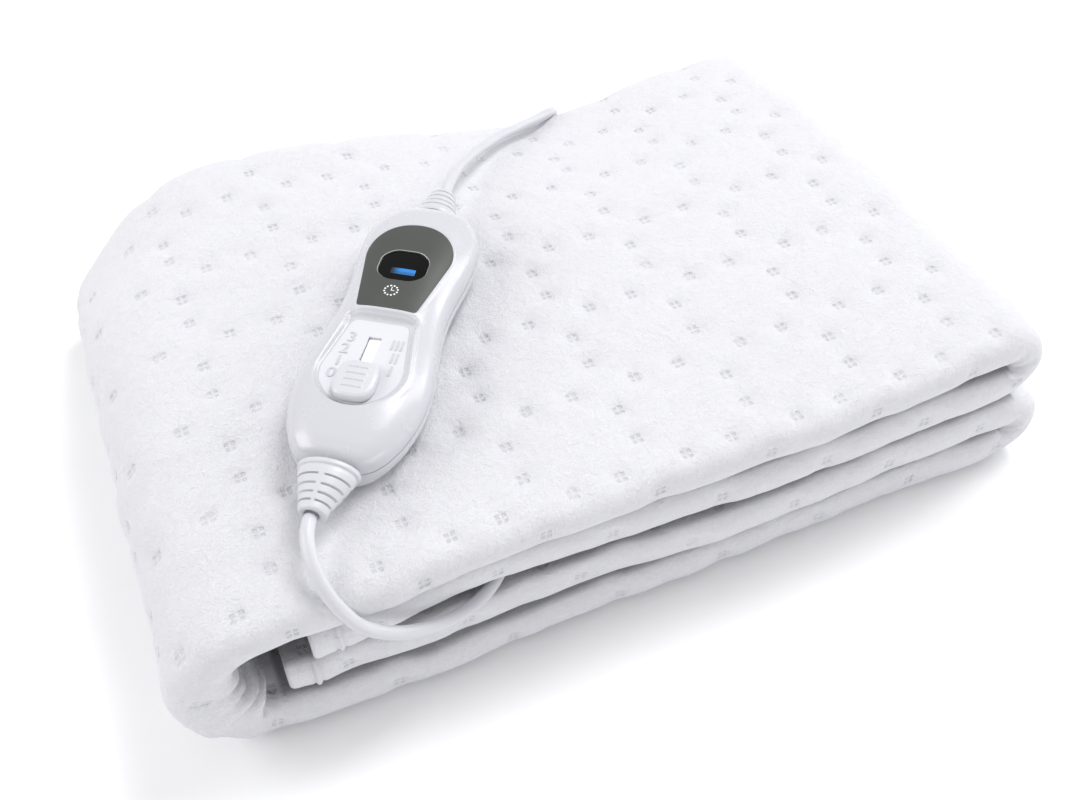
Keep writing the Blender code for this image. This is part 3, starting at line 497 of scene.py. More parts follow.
def cloth(look):
    """The blanket's one closed skin: the strip's outline carried along the section path.

    A point is path + outward * height on the outline, with y from the outline. The front
    fold is a superellipse, squarer where layers press on each other. The relief then moves
    the outer faces along the outline's own normal, and settle() lets the stack sag.
    """
    path = section_path(STATION_STEP, WELD["repeat"][0] / 16)
    outline = strip_outline()
    number, degrees = path[:, 3], path[:, 2]
    run = np.concatenate(([0], np.cumsum(np.linalg.norm(np.diff(path[:, :2], axis=0), axis=1))))
    tangent = np.stack([np.gradient(path[:, k], run) for k in range(2)], 1)
    tangent /= np.linalg.norm(tangent, axis=1, keepdims=True)
    outward = np.stack([tangent[:, 1], -tangent[:, 0]], 1)
    first_top = np.argmax(number == ON["A"])
    along = run[first_top] - run + path[first_top, 0] - WELD["first"]
    from_end = np.where(number == ON["B"], run, np.where(number == ON["C"], run[-1] - run, 1.0))

    y = np.repeat(outline[None, :, 0], len(path), 0)
    h = np.repeat(outline[None, :, 1], len(path), 0)
    across, outside, fold_angle = outline[:, 2], outline[:, 3] > 0, np.radians(outline[:, 4])
    on_fold = fold_angle > 0
    radius = PLY_STEP + PLY / 2
    c, s = np.abs(np.cos(fold_angle[on_fold])), np.abs(np.sin(fold_angle[on_fold]))
    y[:, on_fold] = HALF_LAYER - radius * c ** (2 / look.front_power)
    h[:, on_fold] = np.sign(outline[on_fold, 1]) * radius * s ** (2 / look.front_power)
    at_right = ease((path[:, 0] - SWELL["from"]) / SWELL["over"]) * (
        number != ON["upper right"])
    line = np.full_like(along, 0.5)
    swell = SWELL["all"] + SWELL["right"] * at_right
    swell += SWELL["uneven"] * soft_noise(along / SWELL["grain"], line, 35)
    h *= 1 + swell[:, None] * hump(y, SWELL["reach"])
    back_off = sum((depth * soft_noise(along / grain, line, seed)
                    for depth, grain, seed in UNEVEN_FRONT), front_shift(path))
    y += back_off[:, None] * np.clip(1 - y / FRONT_FADE, 0, 1.1) ** 2

    step_y = np.roll(y, -1, 1) - np.roll(y, 1, 1)
    step_h = np.roll(h, -1, 1) - np.roll(h, 1, 1)
    size = np.hypot(step_y, step_h) + 1e-9
    normal_y, normal_h = -step_h / size, step_y / size
    rise = cloth_relief(along[:, None], across[None, :], look)
    rise = rise + hem_relief(from_end)[:, None]
    # Where two layers press together: from 3 mm behind the fold's front, fading out beyond
    # 30 mm, and only on sides that face another layer. It is flatter there, and the material
    # paints shade on it through the crease attribute.
    depth, grain, seed = CREASE_UNEVEN
    recess = y - (back_off + depth * soft_noise(along / grain, line, seed))[:, None]
    both = np.isin(number, (ON["B"], ON["C"]))
    meets = both[:, None] | ((number != ON["left"])[:, None] & (h < 0))
    start, full, fading, end = CREASE
    crease = (ease((recess - start) / (full - start)) * ease((end - recess) / (end - fading))
              * meets)
    rise = np.where(outside[None, :], rise * (1 - 0.85 * crease), 0.0)
    y += normal_y * rise
    h += normal_h * rise

    end_round = np.sqrt(np.clip(1 - (1 - np.clip(from_end / END_ROUND, 0, 1)) ** 2, 0, 1))
    h *= (END_SHARE + (1 - END_SHARE) * end_round)[:, None]
    y += (1 - end_round)[:, None] * 0.0016 * hump(y, 0.02)

    inward = np.clip((0.3 - h / radius) / 0.9, 0, 1)
    at_front = hump(np.clip(y - MOUTH["from"], 0, 1), MOUTH["reach"])
    wobble = 4 * soft_noise(np.full_like(y, 3.3), y / 0.030, 21)
    for bend, rows in BUCKLES.items():
        for centre, width, bulge, forward in rows:
            lean = degrees[:, None] - centre + wobble + 9 * np.clip(-h / radius, -1, 1)
            ridge = hump(lean, width) * (number == ON[bend])[:, None] * at_front
            h -= bulge * ridge * ease(inward)
            y -= forward * ridge * hump(y, MOUTH["edge"]) * (
                1 if bulge else ease(inward * 1.5))
    points = np.empty((len(path), len(outline), 3))
    points[:, :, 0] = path[:, None, 0] + outward[:, None, 0] * h
    points[:, :, 1] = y
    points[:, :, 2] = path[:, None, 1] + outward[:, None, 1] * h
    settled = settle(points.reshape(-1, 3)).reshape(points.shape)
    settled[:, :, :2] -= MIDDLE
    settled[:, :, 2] = np.maximum(settled[:, :, 2], 0.0)
    made = skin("blanket_cloth", settled,
                chart=lambda row, column: (along[row], across[column % len(outline)]))
    # The crease mask goes to the felt's material, which paints shade with it.
    made.data.attributes.new("crease", "FLOAT", "POINT").data.foreach_set(
        "value", crease.astype(np.float32).ravel())
    return made


def needle_felt(look):
    """Needle-punched polyester felt: matt, softly fuzzy, with the welds pressed smooth."""
    made, tree, shader = finish("needle-punched polyester felt", look.felt, 0.93,
                                Sheen_Weight=0.04, Sheen_Roughness=0.5, Specular_IOR_Level=0.12)
    place_on = node(tree, "ShaderNodeTexCoord")
    chart = node(tree, "ShaderNodeUVMap", {"uv_map": "chart"})
    flat = node(tree, "ShaderNodeSeparateXYZ", Vector=chart.outputs[0])
    local = []
    for axis, size in zip("XY", WELD["repeat"]):
        wrapped = node(tree, "ShaderNodeMath", {"operation": "WRAP"}, _0=flat.outputs[axis],
                       _1=size / 2, _2=-size / 2)
        away = node(tree, "ShaderNodeMath", {"operation": "ABSOLUTE"}, _0=wrapped.outputs[0])
        past = node(tree, "ShaderNodeMath", {"operation": "SUBTRACT"}, _0=away.outputs[0],
                    _1=WELD["reach"])
        local.append((wrapped.outputs[0], past.outputs[0]))
    (u, u_past), (w, w_past) = local
    beside = node(tree, "ShaderNodeCombineXYZ", X=u_past, Y=w).outputs[0]
    above = node(tree, "ShaderNodeCombineXYZ", X=u, Y=w_past).outputs[0]
    to_beside = node(tree, "ShaderNodeVectorMath", {"operation": "LENGTH"}, _0=beside)
    to_above = node(tree, "ShaderNodeVectorMath", {"operation": "LENGTH"}, _0=above)
    nearer = node(tree, "ShaderNodeMath", {"operation": "LESS_THAN"},
                  _0=to_above.outputs["Value"], _1=to_beside.outputs["Value"])
    spot = node(tree, "ShaderNodeMix", {"data_type": "VECTOR"}, Factor=nearer.outputs[0])
    tree.links.new(beside, spot.inputs[4])
    tree.links.new(above, spot.inputs[5])
    spot = spot.outputs[1]
    spot_away = node(tree, "ShaderNodeVectorMath", {"operation": "LENGTH"}, _0=spot)
    spot_away = spot_away.outputs["Value"]
    spot = node(tree, "ShaderNodeVectorMath", {"operation": "ABSOLUTE"}, _0=spot)
    spot = node(tree, "ShaderNodeSeparateXYZ", Vector=spot.outputs[0])

    # Each weld is two by two soft-edged squares, some 1.5 mm wide and 0.9 mm apart.
    squares = None
    for axis in "XY":
        off = node(tree, "ShaderNodeMath", {"operation": "SUBTRACT"}, _0=spot.outputs[axis],
                   _1=WELD_SQUARE["middle"])
        off = node(tree, "ShaderNodeMath", {"operation": "ABSOLUTE"}, _0=off.outputs[0])
        edge = node(tree, "ShaderNodeMapRange", {"interpolation_type": "SMOOTHSTEP"},
                    Value=off.outputs[0], From_Min=WELD_SQUARE["edge"][1],
                    From_Max=WELD_SQUARE["edge"][0])
        squares = edge.outputs[0] if squares is None else node(
            tree, "ShaderNodeMath", {"operation": "MULTIPLY"}, _0=squares,
            _1=edge.outputs[0]).outputs[0]
    pressed = node(tree, "ShaderNodeMapRange", {"interpolation_type": "SMOOTHERSTEP"},
                   Value=spot_away, From_Min=0.0040, From_Max=0.0012).outputs[0]

    # Fibres of 0.3 to 0.8 mm lie in loose tufts of 3 to 5 mm; both drawn coarse to show.
    fibres = node(tree, "ShaderNodeTexNoise", Vector=place_on.outputs["Object"], Scale=1150.0,
                  Detail=4.0, Roughness=0.62, Distortion=1.3)
    tufts = node(tree, "ShaderNodeTexNoise", Vector=place_on.outputs["Object"], Scale=260.0,
                 Detail=3.0, Roughness=0.55, Distortion=0.6)
    waves = node(tree, "ShaderNodeTexNoise", Vector=place_on.outputs["Object"], Scale=42.0,
                 Detail=2.0)

    tone = node(tree, "ShaderNodeMapRange", Value=tufts.outputs["Fac"], From_Min=0.3,
                From_Max=0.7)
    base = node(tree, "ShaderNodeMix", {"data_type": "RGBA"}, Factor=tone.outputs[0])
    base.inputs[6].default_value = [0.965 * c for c in look.felt] + [1.0]
    base.inputs[7].default_value = (*look.felt, 1.0)
    # Some welds pressed the felt harder than others.
    uneven = node(tree, "ShaderNodeTexNoise", Vector=chart.outputs[0], Scale=23.0)
    press = node(tree, "ShaderNodeMapRange", Value=uneven.outputs["Fac"], From_Min=0.35,
                 From_Max=0.65, To_Min=0.25, To_Max=0.95)
    marked = node(tree, "ShaderNodeMath", {"operation": "MULTIPLY"}, _0=squares,
                  _1=press.outputs[0])
    spotted = node(tree, "ShaderNodeMix", {"data_type": "RGBA"}, Factor=marked.outputs[0])
    tree.links.new(base.outputs[2], spotted.inputs[6])
    spotted.inputs[7].default_value = (*look.weld, 1.0)
    # A fine mottle of the fibres on the face, and painted shade in the creases.
    crease = node(tree, "ShaderNodeAttribute", {"attribute_name": "crease"})
    # Painted shade: the felt's colour falls to half where the crease attribute is full.
    painted_shade = node(tree, "ShaderNodeMapRange", Value=crease.outputs["Fac"], To_Min=1.0,
                To_Max=0.5)
    grain = node(tree, "ShaderNodeMapRange", Value=fibres.outputs["Fac"], From_Min=0.3,
                 From_Max=0.7, To_Min=0.95, To_Max=1.02)
    shade = node(tree, "ShaderNodeMath", {"operation": "MULTIPLY"}, _0=painted_shade.outputs[0],
                 _1=grain.outputs[0])
    shaded = node(tree, "ShaderNodeVectorMath", {"operation": "SCALE"},
                  _0=spotted.outputs[2], Scale=shade.outputs[0])
    tree.links.new(shaded.outputs[0], shader.inputs["Base Color"])
    smooth = node(tree, "ShaderNodeMapRange", Value=squares, To_Min=0.95, To_Max=0.55)
    tree.links.new(smooth.outputs[0], shader.inputs["Roughness"])

    normal = None
    for height, depth, strength in ((waves.outputs["Fac"], 0.0016, 0.5),
                                    (tufts.outputs["Fac"], 0.0010, 0.7),
                                    (fibres.outputs["Fac"], 0.0008, 0.8),
                                    (pressed, -0.0004, 0.8), (squares, -0.00025, 0.7)):
        bump = node(tree, "ShaderNodeBump", {"invert": depth < 0}, Height=height,
                    Distance=abs(depth), Strength=strength)
        if normal:
            tree.links.new(normal, bump.inputs["Normal"])
        normal = bump.outputs["Normal"]
    tree.links.new(normal, shader.inputs["Normal"])
    return made


# ------------------------------------------------------------------ leads
CORD_D = 0.0052
CORD_STEP = 0.003
SOUTH_ROUTE = (     # from the controller's lower relief down into the stack
    (-0.1222, -0.1027, 0.0884), (-0.1246, -0.1070, 0.0883), (-0.1260, -0.1112, 0.0876),
    (-0.1267, -0.1158, 0.0861), (-0.1268, -0.1207, 0.0839), (-0.1262, -0.1254, 0.0810),
    (-0.1247, -0.1298, 0.0774), (-0.1220, -0.1336, 0.0722), (-0.1177, -0.1369, 0.0655),
    (-0.1100, -0.1383, 0.0582), (-0.1010, -0.1380, 0.0520), (-0.0910, -0.1362, 0.0467),
    (-0.0812, -0.1332, 0.0431), (-0.0720, -0.1289, 0.0405), (-0.0640, -0.1234, 0.0392),
    (-0.0570, -0.1168, 0.0388),
)
NORTH_ROUTE = (     # from the upper relief over the back edge and down to the coil
    (-0.0146, 0.0487, 0.0884), (-0.0090, 0.0572, 0.0871), (-0.0020, 0.0668, 0.0840),
    (0.0062, 0.0762, 0.0802), (0.0135, 0.0838, 0.0770), (0.0218, 0.0912, 0.0737),
    (0.0318, 0.0993, 0.0701), (0.0438, 0.1062, 0.0667), (0.0548, 0.1112, 0.0647),
    (0.0635, 0.1162, 0.0630), (0.0700, 0.1225, 0.0592), (0.0740, 0.1293, 0.0525),
    (0.0752, 0.1350, 0.0440), (0.0743, 0.1392, 0.0360), (0.0728, 0.1414, 0.0280),
    (0.0702, 0.1426, 0.0197), (0.0649, 0.1430, 0.0112), (0.0565, 0.1426, 0.0053),
    (0.0455, 0.1413, 0.0029), (0.0310, 0.1394, 0.0028), (0.0150, 0.1380, 0.0028),
    (-0.0080, 0.1369, 0.0028), (-0.0380, 0.1365, 0.0028), (-0.0695, 0.1365, 0.0028),
)
COIL_AT = (-0.0900, 0.1700)
COIL_END = {"turns": 7.586, "radius": 0.0396}
POINTS_TO_A_TURN = 24
EASED_TURNS = 7                 # the crossing over the other turns after them isn't eased
LYING = 0.0028                  # height of a lead's middle where it lies on the surface
# Rows: turns made, radius, height of the cord's middle, from the bottom outermost turn up
COIL_TURNS = (
    (0.00, 0.0336, 0.0028), (0.50, 0.0336, 0.0028), (1.00, 0.0280, 0.0028),
    (1.40, 0.0280, 0.0028), (1.90, 0.0224, 0.0028), (2.20, 0.0224, 0.0028),
    (2.70, 0.0224, 0.0084), (3.00, 0.0224, 0.0084), (3.50, 0.0280, 0.0084),
    (4.00, 0.0280, 0.0084), (4.50, 0.0336, 0.0084), (5.00, 0.0336, 0.0084),
    (5.50, 0.0336, 0.0140), (6.30, 0.0336, 0.0140), (6.80, 0.0280, 0.0140),
    (7.00, 0.0280, 0.0141), (7.09, 0.0286, 0.0158), (7.17, 0.0306, 0.0184),
    (7.25, 0.0334, 0.0197), (7.33, 0.0366, 0.0186), (7.41, 0.0388, 0.0150),
    (7.48, 0.0395, 0.0102), (7.54, 0.0396, 0.0056),
    (COIL_END["turns"], COIL_END["radius"], 0.0031),
)
PLUG_AT = (0.0120, 0.1660)
PLUG_TURN = math.radians(6.0)
PLUG_HALF = 0.00685


def coil_route():
    """Points round the coil, its radius and height eased between the rows."""
    count = round(COIL_END["turns"] * POINTS_TO_A_TURN)
    turns = np.arange(1, count + 1) / POINTS_TO_A_TURN
    table = np.array(COIL_TURNS)
    k = np.clip(np.searchsorted(table[:, 0], turns) - 1, 0, len(table) - 2)
    t = (turns - table[k, 0]) / (table[k + 1, 0] - table[k, 0])
    t = np.where(turns < EASED_TURNS, ease(t), t)
    radius = table[k, 1] * (1 - t) + table[k + 1, 1] * t
    height = table[k, 2] * (1 - t) + table[k + 1, 2] * t
    angle = np.radians(-90) - 2 * math.pi * turns
    return np.stack([COIL_AT[0] + radius * np.cos(angle), COIL_AT[1] + radius * np.sin(angle),
                     height], 1)


def plug_place():
    """Where the plug lies: flat on the surface, its prongs pointing along its own X."""
    return Matrix.Translation((*PLUG_AT, PLUG_HALF)) @ Matrix.Rotation(PLUG_TURN, 4, "Z")


def plug_route():
    """From the coil to the plug's relief, along the surface and up to the plug's middle."""
    angle = np.radians((45.0, 30.0, 15.2))
    round_coil = np.stack([COIL_AT[0] + COIL_END["radius"] * np.cos(angle),
                           COIL_AT[1] + COIL_END["radius"] * np.sin(angle),
                           np.full(3, LYING)], 1)
    up = ((-0.0482, 0.1726, 0.0034), (-0.0420, 0.1665, 0.0043), (-0.0339, 0.1628, 0.0054),
          (-0.0251, 0.1621, 0.0063))
    place_at = plug_place()
    ends = [tuple(place_at @ Vector((x, 0, 0))) for x in (-0.0327, -0.0232)]
    return np.concatenate([round_coil, up, ends])


def soft_pvc(name, look):
    """Extruded soft PVC: smooth, slightly waxy, with faint draw lines and handling marks."""
    made, tree, shader = finish(name, look.pvc, 0.34, Specular_IOR_Level=0.5,
                                Subsurface_Weight=0.06, Subsurface_Scale=0.002)
    place_on = node(tree, "ShaderNodeTexCoord")
    marks = node(tree, "ShaderNodeTexNoise", Vector=place_on.outputs["Object"], Scale=180.0,
                 Detail=4.0, Roughness=0.6)
    grain = node(tree, "ShaderNodeTexNoise", Vector=place_on.outputs["Object"], Scale=1800.0,
                 Detail=2.0)
    rough = node(tree, "ShaderNodeMapRange", Value=marks.outputs["Fac"], To_Min=0.27,
                 To_Max=0.44)
    tree.links.new(rough.outputs[0], shader.inputs["Roughness"])
    tint = node(tree, "ShaderNodeMix", {"data_type": "RGBA"}, Factor=marks.outputs["Fac"])
    tint.inputs[6].default_value = [0.94 * c for c in look.pvc] + [1.0]
    tint.inputs[7].default_value = (*look.pvc, 1.0)
    tree.links.new(tint.outputs[2], shader.inputs["Base Color"])
    bump = node(tree, "ShaderNodeBump", Height=grain.outputs["Fac"], Distance=0.00012,
                Strength=0.35)
    tree.links.new(bump.outputs["Normal"], shader.inputs["Normal"])
    return made


# ------------------------------------------------------------------ the controller
# Its own frame: X along it towards the display, Y to its left, Z up from its underside.
CONTROLLER_PLACE = (Matrix.Translation((-0.0681, -0.0266, 0.0772))
                    @ Matrix.Rotation(math.radians(54.6), 4, "Z"))
SEAM = 0.0088                       # height of the parting line
DECK_POWER = 2.9                    # squareness of the sections above and below it
BELLY_POWER = 3.4
HOUSING = (     # distance along, half width, deck height
    (-0.0710, 0.0110, 0.0150), (-0.0690, 0.0143, 0.0172), (-0.0655, 0.0176, 0.0190),
    (-0.0600, 0.0208, 0.0205), (-0.0520, 0.0237, 0.0219), (-0.0420, 0.0256, 0.0229),
    (-0.0320, 0.0260, 0.0234), (-0.0200, 0.0249, 0.0236), (-0.0070, 0.0229, 0.0236),
    (0.0060, 0.0217, 0.0236), (0.0190, 0.0222, 0.0236), (0.0320, 0.0238, 0.0235),
    (0.0430, 0.0246, 0.0231), (0.0530, 0.0238, 0.0222), (0.0600, 0.0216, 0.0209),
    (0.0655, 0.0183, 0.0192), (0.0690, 0.0148, 0.0173), (0.0710, 0.0098, 0.0150),
)
HOUSING_END = 0.0713                # how far the drawn housing reaches either way
# Points across it: a step apart out to the reach, then closing up towards the seam
ACROSS = {"reach": 0.0170, "step": 0.00040, "slot_step": 0.00042, "outer": 34}
SLOT_WALL = 0.00005                 # half width of the slot's near-upright walls
PANEL_THICK = 0.0010
PANEL_PROUD = 0.00012
PANEL_HEAD = (0.0332, 0.0182)       # middle and radius of its round head
PANEL_FOOT = (-0.0005, 0.0122)      # where it ends, and its half width there
PANEL_SOFT = 0.0016                 # reach of its softened corners
PANEL_EDGE = 0.00022                # bevel round the panel and its window
SEAT = {"inset": 0.0008, "spare": 0.0002}
BEAD = {"out": 0.0008, "reach": 0.00045, "height": 0.00035}     # round the panel's seat
WINDOW = {"centre": 0.0248, "half": (0.0088, 0.0101), "chamfer": (0.0041, 0.0046),
          "soft": 0.0026}
# How far below the deck's own curve the lens and the bar lie, top and underside
LENS = {"grow": -0.0002, "top": 0.0006, "under": 0.0011, "bevel": 0.0001}
BAR = {"soft": 0.0003, "top": 0.00052, "under": 0.00085, "bevel": 0.00005}
BAR_CENTRE = (0.0217, -0.0006)
BAR_HALF = (0.0017, 0.0051)
CLOCK = {"centre": (0.0094, 0.0006), "radius": 0.0027, "dot": 0.00040, "hand": 0.00017,
         "long": (0.0019, 0.0), "short": (0.0, -0.0012), "under": 0.00002, "top": 0.00020}
FIELD_FLOOR = 0.0206
FIELD_TOP = (-0.0056, 0.0119)       # where the floor begins, and its half width there
FIELD_END = (-0.0325, 0.0163)       # middle and radius of its round lower end
FIELD_SOFT = 0.0034
FIELD_WALL = 0.0017                 # width of its sloped wall
FIELD_RIDGES = {"out": (0.0023, 0.0036), "reach": 0.00036, "height": 0.00030}
SLOT_CENTRE = -0.0302
SLOT_HALF = (0.0160, 0.0026)
SLOT_DEPTH = 0.0024
KNOB_REST = -0.0388
KNOB_HALF = (0.0092, 0.0080)
KNOB_POWER = 3.2
KNOB_LIFT = 0.0006                  # of its underside over the floor, clear of the figures
KNOB_HEIGHT = 0.0033
# Rows: share of the outline, share of the height. The first two are the stem in the slot
KNOB_PROFILE = (
    (0.24, -0.3), (0.24, 0), (1, 0), (1, 0.45), (0.995, 0.62), (0.982, 0.76), (0.958, 0.87),
    (0.925, 0.945), (0.88, 0.985),
)
KNOB_DOME = 0.00045
# The first ridge stands 1.4 steps before the grip's middle
KNOB_RIDGES = {"count": 4, "first": -1.4, "step": 0.0032, "half": 0.00062, "slope": 0.00042,
               "across": 0.0044, "ends": 0.0007, "height": 0.00042}
FIGURES = (     # text, and its middle along and across the controller
    ("0", -0.0352, 0.0110), ("1", -0.0288, 0.0104), ("2", -0.0223, 0.0098),
    ("3", -0.0160, 0.0089), ("I", -0.0305, -0.0106), ("II", -0.0240, -0.0102),
    ("III", -0.0172, -0.0094),
)


def deck(x, y):
    """Height of the housing's top: a superellipse across, on stations eased along."""
    half, top = smooth_table(x, HOUSING, 1), smooth_table(x, HOUSING, 2)
    flat = np.clip(1 - np.abs(y / half) ** DECK_POWER, 0, 1) ** (1 / DECK_POWER)
    return SEAM + (top - SEAM) * flat


def soften(corners, reach, steps=7):
    """Rounds an outline's corners: each becomes a parabola that starts reach before it."""
    corners = np.array(corners, float)
    before, after = np.roll(corners, 1, 0) - corners, np.roll(corners, -1, 0) - corners
    size_before = np.linalg.norm(before, axis=1, keepdims=True)
    size_after = np.linalg.norm(after, axis=1, keepdims=True)
    start = corners + before / size_before * np.minimum(reach, size_before * 0.48)
    end = corners + after / size_after * np.minimum(reach, size_after * 0.48)
    t = np.linspace(0, 1, steps)[None, :, None]
    return ((1 - t) ** 2 * start[:, None] + 2 * t * (1 - t) * corners[:, None]
            + t ** 2 * end[:, None]).reshape(-1, 2)


def teardrop(head, foot, reach):
    """A round head, straight sides that draw in or out, and a straight foot, softened."""
    foot_at = np.array((foot[0] - head[0], foot[1]))
    way = np.sign(foot_at[0])
    open_by = math.acos(head[1] / np.hypot(*foot_at))
    side = math.atan2(foot_at[1], foot_at[0]) + way * open_by
    far = math.pi if way > 0 else 0.0
    turn = np.linspace(side, 2 * far - side, 49)
    arc = np.stack([head[0] + head[1] * np.cos(turn), head[1] * np.sin(turn)], 1)
    corners = [arc[-1], (foot[0], -foot[1]), (foot[0], foot[1]), arc[0]]
    soft = soften(corners, reach).reshape(4, -1, 2)[1:3].reshape(-1, 2)
    return np.concatenate([arc, soft])


def from_outline(x, y, outline):
    """Signed distance to a closed outline: negative inside, for arrays of points."""
    a, b = outline, np.roll(outline, -1, 0)
    p = np.stack([np.ravel(x), np.ravel(y)], 1)[:, None]
    edge = (b - a)[None]
    t = np.clip(((p - a) * edge).sum(2) / (edge ** 2).sum(2), 0, 1)
    away = np.sqrt((((p - a) - t[..., None] * edge) ** 2).sum(2).min(1))
    crosses = (a[None, :, 1] > p[..., 1]) != (b[None, :, 1] > p[..., 1])
    at = a[None, :, 0] + (p[..., 1] - a[None, :, 1]) * edge[..., 0] / np.where(
        edge[..., 1] == 0, 1e-12, edge[..., 1])
    inside = (crosses & (p[..., 0] < at)).sum(1) % 2 == 1
    return (away * np.where(inside, -1, 1)).reshape(np.shape(x))


def window_outline(grow=0.0):
    """The window: a rectangle with its corners cut off, every corner softened."""
    along, across = WINDOW["half"][0] + grow, WINDOW["half"][1] + grow
    short, low = along - WINDOW["chamfer"][0], across - WINDOW["chamfer"][1]
    corners = ((along, low), (short, across), (-short, across), (-along, low),
               (-along, -low), (-short, -across), (short, -across), (along, -low))
    return soften(corners, WINDOW["soft"]) + (WINDOW["centre"], 0)


def rectangle(centre, half):
    """Corners of a rectangle, anticlockwise from the one furthest along both axes."""
    return [(centre[0] + a * half[0], centre[1] + b * half[1])
            for a, b in ((1, 1), (-1, 1), (-1, -1), (1, -1))]


def polar(outline, centre, angles):
    """An outline's points at given angles round a centre that sees all of it."""
    offset = outline - centre
    fine = np.linspace(0, 1, 12, endpoint=False)[:, None]
    offset = (offset * (1 - fine[..., None]) + np.roll(offset, -1, 0) * fine[..., None])
    offset = offset.reshape(-1, 2)
    angle, radius = np.arctan2(offset[:, 1], offset[:, 0]), np.hypot(*offset.T)
    reach = np.interp(angles, *np.stack([angle, radius])[:, np.argsort(angle)],
                      period=2 * math.pi)
    return centre + reach[:, None] * np.stack([np.cos(angles), np.sin(angles)], 1)


def deck_features(x, y, base):
    """Heights on the upper housing, worked from distances to its outlines.

    The panel's seat is sunk inside a fine bead. The slider field is a flat floor with
    sloped walls, a longer slope under the panel's foot, and two fine ridges down its sides.
    The slot is sunk straight down.
    """
    panel = from_outline(x, y, teardrop(PANEL_HEAD, PANEL_FOOT, PANEL_SOFT))
    field = from_outline(x, y, teardrop(FIELD_END, FIELD_TOP, FIELD_SOFT))
    z = base + BEAD["height"] * hump(panel - BEAD["out"], BEAD["reach"]) * (x > -0.003)
    under_foot = ease((x - FIELD_TOP[0]) / (PANEL_FOOT[0] - 0.0006 - FIELD_TOP[0]))
    beside = ease((field - 0.0001) / FIELD_WALL)
    near_top = ease((x + 0.012) / 0.006) * ease((0.0150 - np.abs(y)) / 0.002)
    wall = beside * (1 - near_top) + np.minimum(under_foot, beside) * near_top
    wall = np.where(panel < 0.0006, 1.0, wall)
    floor = np.minimum(FIELD_FLOOR, base)
    z = floor + (z - floor) * wall
    fade = ease((x + 0.047) / 0.010) * ease((0.0005 - x) / 0.002)
    ridges = sum(hump(field - out, FIELD_RIDGES["reach"]) for out in FIELD_RIDGES["out"])
    z = z + FIELD_RIDGES["height"] * fade * ridges
    z = np.where(panel < -SEAT["inset"], base - PANEL_THICK - SEAT["spare"], z)
    slot = np.maximum(np.abs(x - SLOT_CENTRE) - SLOT_HALF[0], np.abs(y) - SLOT_HALF[1])
    return np.where(slot < 0, FIELD_FLOOR - SLOT_DEPTH, z)


def between(start, end, step):
    """Even values from start to end, about a step apart."""
    return np.linspace(start, end, max(2, round(abs(end - start) / step) + 1))


def housing_half(name, power, upper):
    """One half of the housing: superellipse half sections lofted along it, seam edge eased.

    Across, the points keep fixed places out to 17 mm, so that fine features stay crisp, and
    then close up towards the seam. The last points of each section run back under the rim.
    """
    marks = (-HOUSING_END, SLOT_CENTRE - SLOT_HALF[0], SLOT_CENTRE + SLOT_HALF[0], HOUSING_END)
    xs = np.concatenate([between(a + SLOT_WALL, b - SLOT_WALL, ACROSS["slot_step"])
                         for a, b in zip(marks, marks[1:])])
    half = smooth_table(xs, HOUSING, 1)
    top = smooth_table(xs, HOUSING, 2)
    closing = np.sqrt(np.clip(1 - np.clip((np.abs(xs) - 0.0695) / 0.0019, 0, 1) ** 2, 0, 1))
    half = half * (0.86 + 0.14 * closing)
    top = SEAM + (top - SEAM) * (0.90 + 0.10 * closing)
    inner = np.concatenate([
        between(0, SLOT_HALF[1] - SLOT_WALL, ACROSS["slot_step"]),
        between(SLOT_HALF[1] + SLOT_WALL, ACROSS["reach"], ACROSS["step"])]) / ACROSS["reach"]
    outer = np.sin(np.linspace(0, math.pi / 2, ACROSS["outer"]))[1:]
    reach = np.minimum(ACROSS["reach"], 0.78 * half)[:, None]
    right = np.concatenate([inner * reach, reach + (half[:, None] - reach) * outer], 1)
    y = np.concatenate([-right[:, :0:-1], right], 1)
    x = np.repeat(xs[:, None], y.shape[1], 1)
    share = np.clip(1 - np.abs(y / half[:, None]) ** power, 0, 1) ** (1 / power)
    if upper:
        rim = SEAM + 0.00025
        z = deck_features(x, y, rim + (top[:, None] - rim) * share)
    else:
        rim = SEAM - 0.00010
        z = rim * (1 - share)
    edge = 1 - 0.00035 / half[:, None]
    near_rim = ease(1 - np.abs(z - rim) / 0.0006)
    y = y * (1 - near_rim * (1 - edge))
    rings = np.stack([x, y, z], 2)
    under = np.stack([xs, np.zeros_like(xs), np.full_like(xs, rim)], 1)
    inward = np.linspace(1, -1, 7)[1:-1, None, None]
    closing_rows = np.swapaxes(under[None] + inward * np.stack(
        [0 * xs, half * 0.93, 0 * xs], 1)[None], 0, 1)
    rings = np.concatenate([rings, closing_rows], 1)
    return skin(name, rings, smooth_angle=50)


def moulded_abs(name, colour, rough=0.24):
    """Injection-moulded ABS: glossy and even, with a faint spark-eroded grain."""
    made, tree, shader = finish(name, colour, rough, Specular_IOR_Level=0.5, IOR=1.54)
    place_on = node(tree, "ShaderNodeTexCoord")
    grain = node(tree, "ShaderNodeTexNoise", Vector=place_on.outputs["Object"], Scale=2600.0,
                 Detail=2.0)
    marks = node(tree, "ShaderNodeTexNoise", Vector=place_on.outputs["Object"], Scale=70.0,
                 Detail=5.0, Roughness=0.6)
    rub = node(tree, "ShaderNodeMapRange", Value=marks.outputs["Fac"], From_Min=0.3,
               From_Max=0.7, To_Min=rough - 0.04, To_Max=rough + 0.07)
    tree.links.new(rub.outputs[0], shader.inputs["Roughness"])
    bump = node(tree, "ShaderNodeBump", Height=grain.outputs["Fac"], Distance=0.00003,
                Strength=0.15)
    tree.links.new(bump.outputs["Normal"], shader.inputs["Normal"])
    return made


PLATE_SMOOTH = 35           # degrees up to which a plate's edges are shaded smooth
PLATE_RINGS = 6             # across a solid plate's top
ROUND_SIDES = 144           # of the grip and the reliefs


